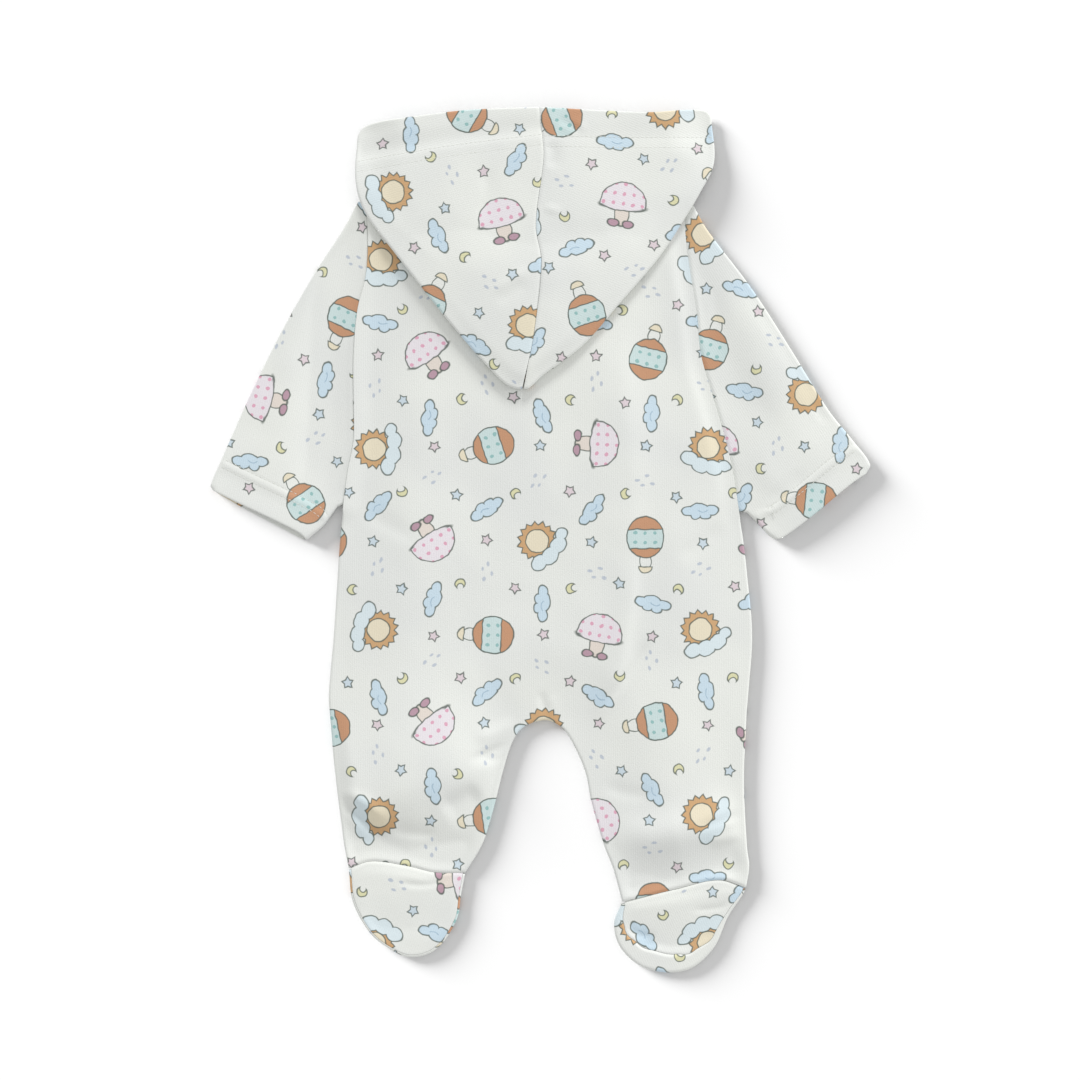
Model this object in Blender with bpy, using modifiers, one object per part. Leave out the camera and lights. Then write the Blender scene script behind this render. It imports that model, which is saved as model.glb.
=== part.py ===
"""A footed baby sleepsuit with a hood, laid flat on a surface with its back up.

Sizes are in millimetres and become metres when a piece is made; +Z is up and the
hood lies toward +Y. The origin is under the middle of the suit, on the surface.
Each piece of cloth is an open surface, its outside, that Solidify thickens inward.
"""

import math
from collections import namedtuple

import bmesh
import bpy
from mathutils import Vector
from mathutils.geometry import delaunay_2d_cdt

MILLIMETRE = 0.001
SUIT_NAME = "footed_sleepsuit"

# The cloth and how it lies
CLOTH = 1.8
HEM_CLOTH = 3.0
HEM_RISE = 0.6
SEAM_GAP = 0.35
SOLE_GAP = 0.55
UNDER_SEAM_GAP = 0.9
LAYER_GAP = 0.35
HEM_EDGE = 1.6
HEM_FADE = 4.0
WALL_HEIGHT = 1.2
ROLL_RADIUS = 3.2
ROLL_HEIGHT = 4.2
BODY_CROWN = 2.0
BODY_CROWN_REACH = 60.0
FOLD_FADE = 18.0
FRONT_INSET = 2.8
FRONT_NECK_DROP = 14.0

# Sleeves: height of the two layers at the armhole, along the arm and at the hem
SLEEVE_SEAM_HEIGHT = 4.2
SLEEVE_HEIGHT = 4.7
CUFF_HEIGHT = 7.2
CUFF_HEM = 17.0
SLEEVE_CROWN = 1.6
SLEEVE_CROWN_REACH = 35.0
SLEEVE_SEAM_REACH = 20.0
SLEEVE_CROWN_START = 30.0
CUFF_REACH = 40.0
CUFF_FLAT_SHARE = 0.3
CUFF_FLATTENING = 0.6

# Hood: height of its fold, and how it settles over the shoulders
HOOD_FOLD_HEIGHT = 4.6
HOOD_STEP = 20.0
HOOD_POINT_GAP = 1.2
HOOD_BLEND = 30.0
HOOD_UNDER_REACH = 15.0
SHOULDER_STEPS = (4.0, -5.0, -HOOD_STEP)

# Feet: rolled side, crown and the roll of cloth below the heel seam
FOOT_WALL = 2.2
FOOT_RISE = 5.0
FOOT_RADIUS = 4.5
FOOT_FLOOR_INSET = 2.0
FOOT_LOW_INSET = 0.6
FOOT_LOW_HEIGHT = 0.62
FOOT_TOP_SHARES = (0.0, 0.1, 0.3, 0.6, 0.85, 1.0)
FOOT_CROWN = 0.6
FOOT_CROWN_REACH = 25.0
HEEL_ROLL = 2.4

# Mesh steps, and how near its points may lie to each other
FRONT_STEP = 60.0
BODY_STEP = 18.0
SLEEVE_STEP = 15.0
HOOD_STEP_SIZE = 15.0
FOOT_STEP = 6.5
EDGE_STEP = 13.0
INNER_LEG_STEP = 9.1
FOOT_EDGE_STEP = 6.5
CURVE_SAMPLES = 10
ON_EDGE = 0.01
WELD = 0.01
RIM_REACH = 0.05
SNAP = 0.0001
RING_CLEARANCE = 0.8
GUIDE_CLEARANCE = 0.3
GUIDE_BEYOND_RINGS = 1.0
LATTICE_CLEARANCE = 0.6
LATTICE_EDGE_CLEARANCE = 0.5
LONGEST_RING_SHARE = 0.9
SHARP_ANGLE = math.radians(50.0)

# Colours of the cloth
PALE_KNIT = (0.76, 0.78, 0.75)
SOLE_KNIT = (0.74, 0.76, 0.73)

Station = namedtuple("Station", "y left right")
LegRow = namedtuple("LegRow", "outer_x outer_y inner_x inner_y")
Spot = namedtuple("Spot", "x y")
Level = namedtuple("Level", "y height")
Fold = namedtuple("Fold", "x0 y0 x1 y1 width rise")
Edge = namedtuple("Edge", "rolled line")

# Body outline from the shoulders down to where the legs part
SHOULDER_LEFT = Spot(-118.7, 230.0)
SHOULDER_RIGHT = Spot(97.2, 228.0)
BODY = [
    Station(204.0, -117.0, 98.6),
    Station(180.2, -118.3, 101.7),
    Station(156.4, -124.1, 105.7),
    Station(125.8, -126.8, 108.8),
    Station(95.2, -126.8, 117.6),
    Station(68.0, -126.8, 125.5),
    Station(46.2, -130.9, 130.6),
    Station(24.0, -133.8, 134.0),
    Station(19.5, -134.2, 134.6),
    Station(0.0, -136.1, 137.7),
    Station(-23.8, -137.7, 140.4),
    Station(-64.6, -140.4, 143.8),
    Station(-105.4, -143.8, 141.1),
]
ARMHOLE_END_LEFT = 24.0
ARMHOLE_END_RIGHT = 19.5

# Legs, from the crotch down to the heel seam
CROTCH = Spot(3.0, -122.4)
LEFT_LEG = [
    LegRow(-143.1, -117.0, -11.5, -127.2),
    LegRow(-142.1, -129.2, -18.7, -136.7),
    LegRow(-140.4, -149.6, -25.2, -156.4),
    LegRow(-137.7, -173.4, -30.3, -176.8),
    LegRow(-135.3, -191.8, -34.0, -190.4),
    LegRow(-133.3, -207.4, -39.8, -207.4),
    LegRow(-130.2, -223.0, -51.0, -225.8),
]
RIGHT_LEG = [
    LegRow(140.1, -117.0, 13.3, -126.5),
    LegRow(139.4, -132.6, 20.4, -135.3),
    LegRow(138.4, -153.0, 30.3, -157.1),
    LegRow(138.4, -173.4, 34.3, -176.8),
    LegRow(140.4, -209.4, 43.2, -207.4),
    LegRow(141.8, -221.7, 49.3, -223.0),
    LegRow(139.7, -236.0, 55.4, -245.5),
]
LEFT_HEEL_SEAM = [Spot(-115.0, -218.0), Spot(-89.0, -221.5), Spot(-72.0, -225.5)]
RIGHT_HEEL_SEAM = [Spot(68.0, -242.5), Spot(91.0, -237.0), Spot(121.0, -230.5)]

# Neckline, under the hood
NECK_LEFT = Spot(-49.0, 239.0)
NECK_MIDDLE = Spot(-1.0, 228.0)
NECK_RIGHT = Spot(46.0, 238.0)

# Sleeves: the folded outer edge, the cuff and the folded underarm edge
LEFT_SLEEVE = [
    Spot(-123.8, 229.5),
    Spot(-134.0, 211.0),
    Spot(-154.0, 180.2),
    Spot(-177.0, 139.4),
    Spot(-197.0, 98.6),
    Spot(-215.2, 57.8),
    Spot(-224.0, 37.0),
]
LEFT_CUFF = [Spot(-222.5, 33.8), Spot(-205.0, 23.5), Spot(-176.0, 8.3), Spot(-162.0, 0.8)]
LEFT_CUFF_UPPER = [Spot(-222.5, 33.8), Spot(-207.0, 26.0), Spot(-175.0, 10.8), Spot(-162.5, 4.0)]
LEFT_UNDERARM = [Spot(-158.8, 0.0), Spot(-148.0, 9.0), Spot(-141.0, 18.0), Spot(-137.5, 22.5)]
RIGHT_SLEEVE = [
    Spot(104.0, 227.0),
    Spot(113.2, 210.8),
    Spot(144.0, 170.0),
    Spot(170.3, 129.2),
    Spot(195.5, 88.4),
    Spot(213.0, 66.5),
    Spot(223.8, 51.5),
]
RIGHT_CUFF = [Spot(221.5, 45.5), Spot(209.0, 36.7), Spot(184.5, 16.5), Spot(163.5, 1.2)]
RIGHT_UNDERARM = [Spot(158.5, 0.5), Spot(154.7, 3.4), Spot(146.3, 12.2), Spot(140.0, 18.5)]

# Hood: its top edge, its folded sides down to the point, and the middle seam
HOOD_POINT = Spot(-12.0, 102.0)
HOOD_TOP_LEFT = [Spot(-119.5, 280.0), Spot(-93.5, 285.6), Spot(-51.0, 291.0)]
HOOD_TOP_MIDDLE = Spot(-1.0, 293.0)
HOOD_TOP_RIGHT = [Spot(73.0, 289.7), Spot(101.7, 291.7), Spot(112.5, 291.0)]
HOOD_SIDE_LEFT = [
    Spot(-124.2, 274.0),
    Spot(-125.5, 244.0),
    Spot(-119.3, 222.4),
    Spot(-98.9, 194.5),
    Spot(-56.8, 141.4),
    Spot(-32.3, 113.6),
    Spot(-23.0, 105.0),
    Spot(-16.5, 102.3),
]
HOOD_SIDE_RIGHT = [
    Spot(116.0, 286.0),
    Spot(117.8, 256.0),
    Spot(107.8, 234.6),
    Spot(96.9, 216.2),
    Spot(80.0, 191.0),
    Spot(53.4, 159.8),
    Spot(28.2, 131.2),
    Spot(1.7, 111.5),
    Spot(-4.5, 105.6),
    Spot(-8.0, 102.5),
]
HOOD_SEAM = [
    Spot(1.0, 275.4),
    Spot(2.2, 258.4),
    Spot(-3.1, 213.0),
    Spot(0.7, 187.7),
    Spot(-4.8, 136.7),
    Spot(-9.0, 116.3),
]
HOOD_HEM_LEFT = [Spot(-125.0, 256.5), Spot(-60.0, 267.0), Spot(1.0, 274.5)]
HOOD_HEM_RIGHT = [Spot(1.5, 273.5), Spot(60.0, 272.6), Spot(117.0, 273.2)]
FACE_EDGE_LEFT = [Spot(-100.0, 262.0), Spot(-50.0, 256.0)]
FACE_EDGE_RIGHT = [Spot(94.0, 272.0), Spot(45.0, 258.0)]
FACE_MIDDLE = Spot(-1.0, 247.0)
HOOD_LEVELS = [
    Level(293.0, 3.6),
    Level(272.0, 3.8),
    Level(255.0, 4.8),
    Level(238.0, 7.0),
    Level(220.0, 9.4),
    Level(200.0, 10.8),
    Level(150.0, 11.1),
    Level(102.0, 10.6),
]

# Feet: outlines from the inner end of the heel seam round the toes to its outer end,
# and the seam between the sole and the toe piece
LEFT_FOOT = [
    Spot(-51.2, -226.8),
    Spot(-53.8, -240.0),
    Spot(-57.0, -258.0),
    Spot(-71.0, -278.0),
    Spot(-89.0, -283.2),
    Spot(-105.0, -276.0),
    Spot(-116.6, -265.9),
    Spot(-127.5, -245.5),
    Spot(-130.1, -224.0),
]
LEFT_SOLE_INSET = [1.4, 1.4, 1.4, 1.6, 1.5, 1.4, 1.4, 1.4, 1.4]
RIGHT_FOOT = [
    Spot(139.3, -237.0),
    Spot(137.0, -241.5),
    Spot(127.5, -255.7),
    Spot(117.0, -278.0),
    Spot(98.3, -292.4),
    Spot(71.7, -291.0),
    Spot(54.7, -277.4),
    Spot(50.0, -261.0),
    Spot(55.1, -246.5),
]
RIGHT_SOLE_INSET = [1.6, 2.2, 4.4, 8.8, 12.4, 13.4, 11.0, 7.0, 2.6]

# The largest folds: the ends of each, its half width and how far it rises or sinks
BODY_FOLDS = [
    Fold(59.0, 44.0, 55.0, -6.0, 9.0, -0.7),
    Fold(55.0, -6.0, 60.0, -50.0, 8.0, -0.8),
    Fold(60.0, -50.0, 37.0, -119.0, 8.0, -0.9),
    Fold(76.0, 30.0, 78.0, -70.0, 16.0, 0.5),
    Fold(-2.0, -108.0, 4.0, -120.0, 5.0, -0.7),
    Fold(-128.0, -190.0, -94.0, -200.0, 10.0, -1.4),
    Fold(-94.0, -200.0, -56.0, -211.0, 10.0, -1.2),
    Fold(60.0, -205.0, 100.0, -217.0, 10.0, -1.2),
    Fold(100.0, -212.0, 134.0, -190.0, 8.0, -1.0),
    Fold(-120.0, -217.0, -62.0, -221.0, 6.0, 0.8),
    Fold(66.0, -236.0, 126.0, -226.0, 6.0, 0.8),
]
LEFT_HEEL_ROLL = [Spot(-118.0, -226.0), Spot(-92.0, -228.5), Spot(-64.0, -230.0)]
RIGHT_HEEL_ROLL = [Spot(66.0, -248.5), Spot(94.0, -245.5), Spot(126.0, -239.5)]
HEEL_ROLL_WIDTH = 5.0

# Depths of the rings of points that shape the rolled edges
SLEEVE_RINGS = (0.5, 1.8, 3.6)
BODY_RINGS = (0.45, 1.5, ROLL_RADIUS)
HOOD_RINGS = (0.3, 1.1, 2.2)
SOLE_RINGS = (2.3, 3.2, 5.0)


def smooth_step(value):
    """0 below 0, 1 above 1 and an even slope between."""
    value = min(max(value, 0.0), 1.0)
    return value * value * (3.0 - 2.0 * value)


def spaced(line, step):
    """The line cut into equal steps, none longer than step."""
    lengths = [0.0]
    for start, end in zip(line, line[1:]):
        lengths.append(lengths[-1] + math.dist(start, end))
    count = max(1, math.ceil(lengths[-1] / step))
    result = []
    segment = 0
    for index in range(count + 1):
        target = lengths[-1] * index / count
        while segment < len(line) - 2 and lengths[segment + 1] < target:
            segment += 1
        span = lengths[segment + 1] - lengths[segment]
        share = (target - lengths[segment]) / span if span else 0.0
        start = line[segment]
        end = line[segment + 1]
        result.append(Spot(start.x + (end.x - start.x) * share, start.y + (end.y - start.y) * share))
    return result


def curve(spots, step):
    """A smooth curve through the spots, cut into equal steps."""
    padded = [spots[0]] + list(spots) + [spots[-1]]
    dense = [spots[0]]
    for index in range(len(spots) - 1):
        before, start, end, after = padded[index:index + 4]
        span = math.dist(start, end)
        lead = span / max(math.dist(before, end), span)
        trail = span / max(math.dist(start, after), span)
        for sample in range(1, CURVE_SAMPLES + 1):
            t = sample / CURVE_SAMPLES
            weight_start = 2 * t ** 3 - 3 * t ** 2 + 1
            weight_end = 3 * t ** 2 - 2 * t ** 3
            pull_start = (t ** 3 - 2 * t ** 2 + t) * lead
            pull_end = (t ** 3 - t ** 2) * trail
            dense.append(Spot(
                weight_start * start.x + weight_end * end.x
                + pull_start * (end.x - before.x) + pull_end * (after.x - start.x),
                weight_start * start.y + weight_end * end.y
                + pull_start * (end.y - before.y) + pull_end * (after.y - start.y),
            ))
    return spaced(dense, step)


def denser(line, spot, reach):
    """The line with each step that lies near the spot cut in three."""
    result = [line[0]]
    for start, end in zip(line, line[1:]):
        if min(math.dist(start, spot), math.dist(end, spot)) < reach:
            for share in (1.0 / 3.0, 2.0 / 3.0):
                result.append(Spot(
                    start.x + (end.x - start.x) * share,
                    start.y + (end.y - start.y) * share,
                ))
        result.append(end)
    return result


def joined(*lines):
    """Several lines that follow each other as one line."""
    result = list(lines[0])
    for line in lines[1:]:
        if math.dist(result[-1], line[0]) < ON_EDGE:
            line = line[1:]
        result.extend(line)
    return result


def moved(line, distances):
    """The line moved to its left by a distance, or by one distance for each point."""
    if isinstance(distances, float):
        distances = [distances] * len(line)
    result = []
    for index, point in enumerate(line):
        sides = []
        for start, end in ((index - 1, index), (index, index + 1)):
            if start >= 0 and end < len(line):
                run = Vector((line[end].x - line[start].x, line[end].y - line[start].y)).normalized()
                sides.append(Vector((-run.y, run.x)))
        side = sum(sides, Vector((0.0, 0.0))).normalized()
        stretch = max(side.dot(sides[0]), 0.5)
        shift = side * distances[index] / stretch
        result.append(Spot(point.x + shift.x, point.y + shift.y))
    return result


def eased(values, count):
    """The values spread over count places, with a smooth change from each to the next."""
    result = []
    for place in range(count):
        along = place / (count - 1) * (len(values) - 1)
        index = min(int(along), len(values) - 2)
        share = smooth_step(along - index)
        result.append(values[index] + (values[index + 1] - values[index]) * share)
    return result


def inside(outline, point):
    """Whether the point lies in the outline."""
    result = False
    previous = outline[-1]
    for current in outline:
        if (current.y > point.y) != (previous.y > point.y):
            share = (point.y - current.y) / (previous.y - current.y)
            if point.x < current.x + share * (previous.x - current.x):
                result = not result
        previous = current
    return result


def segment_distance(point, start, end):
    """Distance from the point to a straight segment."""
    run_x = end.x - start.x
    run_y = end.y - start.y
    length = run_x * run_x + run_y * run_y
    share = 0.0
    if length > 0.0:
        share = ((point.x - start.x) * run_x + (point.y - start.y) * run_y) / length
    share = min(max(share, 0.0), 1.0)
    return math.hypot(point.x - start.x - share * run_x, point.y - start.y - share * run_y)


def line_distance(point, *lines):
    """Distance from the point to the nearest of several lines."""
    return min(
        segment_distance(point, start, end)
        for line in lines
        for start, end in zip(line, line[1:])
    )


def outline_of(edges):
    """The closed outline that the edges make in turn."""
    result = []
    for edge in edges:
        result.extend(edge.line[:-1])
    return result


def signed_depth(point, outline):
    """Distance to the outline, positive inside it."""
    depth = line_distance(point, list(outline) + [outline[0]])
    return depth if inside(outline, point) else -depth


def with_ring_ends(edges, rings):
    """Give each cut edge a point at every ring's depth from its ends."""
    result = []
    for edge in edges:
        line = list(edge.line)
        if not edge.rolled:
            for flip in range(2):
                corner = line[0]
                ends = []
                for depth in rings:
                    share = depth / math.dist(corner, line[1])
                    if share < LONGEST_RING_SHARE:
                        ends.append(Spot(
                            corner.x + (line[1].x - corner.x) * share,
                            corner.y + (line[1].y - corner.y) * share,
                        ))
                line = [corner] + ends + line[1:]
                line.reverse()
        result.append(Edge(edge.rolled, line))
    return result


def plan_mesh(edges, rings, step, guides=()):
    """Points and triangles that fill the edges' outline, seen from above.

    Rings of points follow each rolled edge, and guides are further lines to follow.
    """
    edges = with_ring_ends(edges, rings)
    outline = outline_of(edges)
    closed = outline + [outline[0]]
    points = list(outline)
    links = [(index, (index + 1) % len(outline)) for index in range(len(outline))]
    followed = []
    count = len(edges)
    for index, edge in enumerate(edges):
        if edge.rolled:
            before = edges[(index - 1) % count].line
            after = edges[(index + 1) % count].line
            for number, depth in enumerate(rings):
                ring = moved(edge.line, depth)[1:-1]
                ring = [before[-2 - number]] + ring + [after[1 + number]]
                followed.append((ring, depth * RING_CLEARANCE))
    rolled_lines = [edge.line for edge in edges if edge.rolled]
    for guide in guides:
        if rolled_lines:
            nearest = rings[-1] + GUIDE_BEYOND_RINGS
            guide = [point for point in guide if line_distance(point, *rolled_lines) > nearest]
        followed.append((guide, GUIDE_CLEARANCE))
    for line, clearance in followed:
        last = None
        for point in line:
            if point in points:
                place = points.index(point)
            elif inside(outline, point) and line_distance(point, closed) >= clearance:
                points.append(point)
                place = len(points) - 1
            else:
                last = None
                continue
            if last is not None:
                links.append((last, place))
            last = place
    followed_count = len(points)
    low_x = min(point.x for point in outline)
    low_y = min(point.y for point in outline)
    high_x = max(point.x for point in outline)
    high_y = max(point.y for point in outline)
    rise = step * math.sqrt(0.75)
    for row in range(1, math.ceil((high_y - low_y) / rise)):
        shift = 0.5 * step * (row % 2)
        for column in range(math.ceil((high_x - low_x) / step) + 1):
            point = Spot(low_x + shift + column * step, low_y + row * rise)
            near = min(math.dist(point, other) for other in points[:followed_count])
            if near > LATTICE_CLEARANCE * step and inside(outline, point):
                if line_distance(point, closed) > LATTICE_EDGE_CLEARANCE * step:
                    points.append(point)
    flat, _, faces, _, _, _ = delaunay_2d_cdt(
        [Vector(point) for point in points], links, [list(range(len(outline)))], 1, SNAP)
    return [Spot(point.x, point.y) for point in flat], faces


def loft(bm, rows):
    """Quads between rows of points."""
    grid = [[bm.verts.new(Vector(point) * MILLIMETRE) for point in row] for row in rows]
    for upper, lower in zip(grid, grid[1:]):
        for index in range(len(upper) - 1):
            bm.faces.new((upper[index], upper[index + 1], lower[index + 1], lower[index]))


def add_layer(bm, mesh, height, facing_up=True):
    """One layer of cloth: the plan mesh raised to its height at each point."""
    flat, faces = mesh
    verts = [bm.verts.new(Vector((point.x, point.y, height(point))) * MILLIMETRE) for point in flat]
    for face in faces:
        corners = [verts[index] for index in face]
        if not facing_up:
            corners.reverse()
        bm.faces.new(corners)


def wall_to_floor(bm, rolled_lines):
    """Drop a short straight wall from the rolled edges to the floor."""
    rim = []
    for edge in bm.edges:
        if edge.is_boundary:
            middle = (edge.verts[0].co + edge.verts[1].co) / 2 / MILLIMETRE
            if line_distance(Spot(middle.x, middle.y), *rolled_lines) < RIM_REACH:
                rim.append(edge)
    wall = bmesh.ops.extrude_edge_only(bm, edges=rim)["geom"]
    for part in wall:
        if isinstance(part, bmesh.types.BMVert):
            part.co.z = 0.0


def sleepsuit_piece(name, bm, colour, thickness=None):
    """Weld a piece's surface, thicken it inward and give it its material."""
    bmesh.ops.remove_doubles(bm, verts=bm.verts, dist=WELD * MILLIMETRE)
    mesh = bpy.data.meshes.new(name)
    bm.to_mesh(mesh)
    bm.free()
    mesh.shade_smooth()
    mesh.set_sharp_from_angle(angle=SHARP_ANGLE)
    piece = bpy.data.objects.new(name, mesh)
    suit.objects.link(piece)
    piece.parent = root
    solid = piece.modifiers.new("cloth", "SOLIDIFY")
    solid.thickness = CLOTH * MILLIMETRE
    solid.offset = -1.0
    if thickness:
        heights = [thickness(Spot(vert.co.x / MILLIMETRE, vert.co.y / MILLIMETRE))
                   for vert in mesh.vertices]
        solid.thickness = max(heights) * MILLIMETRE
        group = piece.vertex_groups.new(name="layers")
        for index, height in enumerate(heights):
            group.add([index], height / max(heights), "REPLACE")
        solid.vertex_group = group.name
    material = bpy.data.materials.new(name + "_knit")
    material.use_nodes = True
    shader = material.node_tree.nodes["Principled BSDF"]
    shader.inputs["Base Color"].default_value = (*colour, 1.0)
    shader.inputs["Roughness"].default_value = 0.9
    shader.inputs["Metallic"].default_value = 0.0
    mesh.materials.append(material)
    return piece


# Clear the scene and set up the suit's collection and root
for old in list(bpy.data.objects):
    bpy.data.objects.remove(old)
suit = bpy.data.collections.new(SUIT_NAME)
bpy.context.scene.collection.children.link(suit)
root = bpy.data.objects.new(SUIT_NAME + "_root", None)
suit.objects.link(root)

# The body's edges, counterclockwise seen from above
left_side = [Spot(row.left, row.y) for row in BODY]
right_side = [Spot(row.right, row.y) for row in BODY]
neck_line = curve([NECK_RIGHT, NECK_MIDDLE, NECK_LEFT], EDGE_STEP)
left_shoulder = [NECK_LEFT, SHOULDER_LEFT]
right_shoulder = [SHOULDER_RIGHT, NECK_RIGHT]
left_armhole = curve(
    [SHOULDER_LEFT] + [spot for spot in left_side if spot.y >= ARMHOLE_END_LEFT], EDGE_STEP)
left_flank = curve(
    [spot for spot in left_side if spot.y <= ARMHOLE_END_LEFT]
    + [Spot(row.outer_x, row.outer_y) for row in LEFT_LEG], EDGE_STEP)
right_armhole = curve(
    [spot for spot in reversed(right_side) if spot.y >= ARMHOLE_END_RIGHT] + [SHOULDER_RIGHT],
    EDGE_STEP)
right_flank = curve(
    [Spot(row.outer_x, row.outer_y) for row in reversed(RIGHT_LEG)]
    + [spot for spot in reversed(right_side) if spot.y <= ARMHOLE_END_RIGHT], EDGE_STEP)
left_heel = curve(
    [left_flank[-1]] + LEFT_HEEL_SEAM + [Spot(LEFT_LEG[-1].inner_x, LEFT_LEG[-1].inner_y)],
    EDGE_STEP)
right_heel = curve(
    [Spot(RIGHT_LEG[-1].inner_x, RIGHT_LEG[-1].inner_y)] + RIGHT_HEEL_SEAM + [right_flank[0]],
    EDGE_STEP)
inner_legs = curve(
    [Spot(row.inner_x, row.inner_y) for row in reversed(LEFT_LEG)] + [CROTCH]
    + [Spot(row.inner_x, row.inner_y) for row in RIGHT_LEG], INNER_LEG_STEP)
left_body_edge = joined(spaced(left_shoulder, EDGE_STEP), left_armhole, left_flank)
right_body_edge = joined(right_flank, right_armhole, spaced(right_shoulder, EDGE_STEP))
body_edges = [
    Edge(False, neck_line),
    Edge(True, left_body_edge),
    Edge(False, left_heel),
    Edge(True, inner_legs),
    Edge(False, right_heel),
    Edge(True, right_body_edge),
]
body_outline = outline_of(body_edges)
body_rolled = [left_body_edge, inner_legs, right_body_edge]


def body_crown(point):
    """How far the back panel rises above its edge's height, with its folds."""
    depth = line_distance(point, neck_line, *body_rolled)
    rise = 0.0
    for fold in BODY_FOLDS:
        away = segment_distance(point, Spot(fold.x0, fold.y0), Spot(fold.x1, fold.y1))
        rise += fold.rise * math.exp(-(away / fold.width) ** 2)
    crown = BODY_CROWN * smooth_step(depth / BODY_CROWN_REACH)
    return max(0.0, crown + rise * smooth_step(depth / FOLD_FADE))


def back_height(point):
    """Height of the back panel's outside."""
    depth = line_distance(point, *body_rolled)
    lean = 1.0 - min(depth / ROLL_RADIUS, 1.0)
    roll = WALL_HEIGHT + (ROLL_HEIGHT - WALL_HEIGHT) * math.sqrt(1.0 - lean * lean)
    return roll + body_crown(point)


# Back: one panel for the back of the body and of both legs
bm = bmesh.new()
add_layer(bm, plan_mesh(body_edges, BODY_RINGS, BODY_STEP), back_height)
wall_to_floor(bm, body_rolled)
sleepsuit_piece("back", bm, PALE_KNIT)

# Fronts: two flat panels under the back that meet at the middle
front_neck = Spot(NECK_MIDDLE.x, NECK_MIDDLE.y - FRONT_NECK_DROP)
crotch_place = min(range(len(inner_legs)), key=lambda place: math.dist(inner_legs[place], CROTCH))
for name, side, leg_edge, shoulder_edge in (
    ("front_left", -1, inner_legs[:crotch_place + 1], left_body_edge),
    ("front_right", 1, inner_legs[crotch_place:], right_body_edge),
):
    outer = moved(shoulder_edge, FRONT_INSET)[::-side]
    inner = moved(leg_edge, FRONT_INSET)[::-side]
    half_gap = side * SEAM_GAP / 2
    neck_corner = Spot(front_neck.x + half_gap, front_neck.y)
    crotch_corner = Spot(inner[-1].x + half_gap, inner[-1].y)
    front_outline = [neck_corner] + outer[1:] + inner[:-1] + [crotch_corner, neck_corner]
    bm = bmesh.new()
    add_layer(
        bm, plan_mesh([Edge(False, front_outline[::-side])], (), FRONT_STEP), lambda point: CLOTH)
    sleepsuit_piece(name, bm, PALE_KNIT)


def fold_profile(depth, half_height):
    """Height over or under a fold's middle at this depth from its edge."""
    if depth < ON_EDGE:
        return 0.0
    lean = 1.0 - min(depth / half_height, 1.0)
    return half_height * math.sqrt(1.0 - lean * lean)


# Lines over the shoulders and the neck, where the hood steps down to the floor
shoulder_line = joined(
    spaced(right_shoulder, EDGE_STEP), neck_line, spaced(left_shoulder, EDGE_STEP))
shoulder_guides = [shoulder_line] + [moved(shoulder_line, step) for step in SHOULDER_STEPS]
sleeve_guides = [right_armhole, left_armhole]
lower_outlines = [body_outline]

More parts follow.
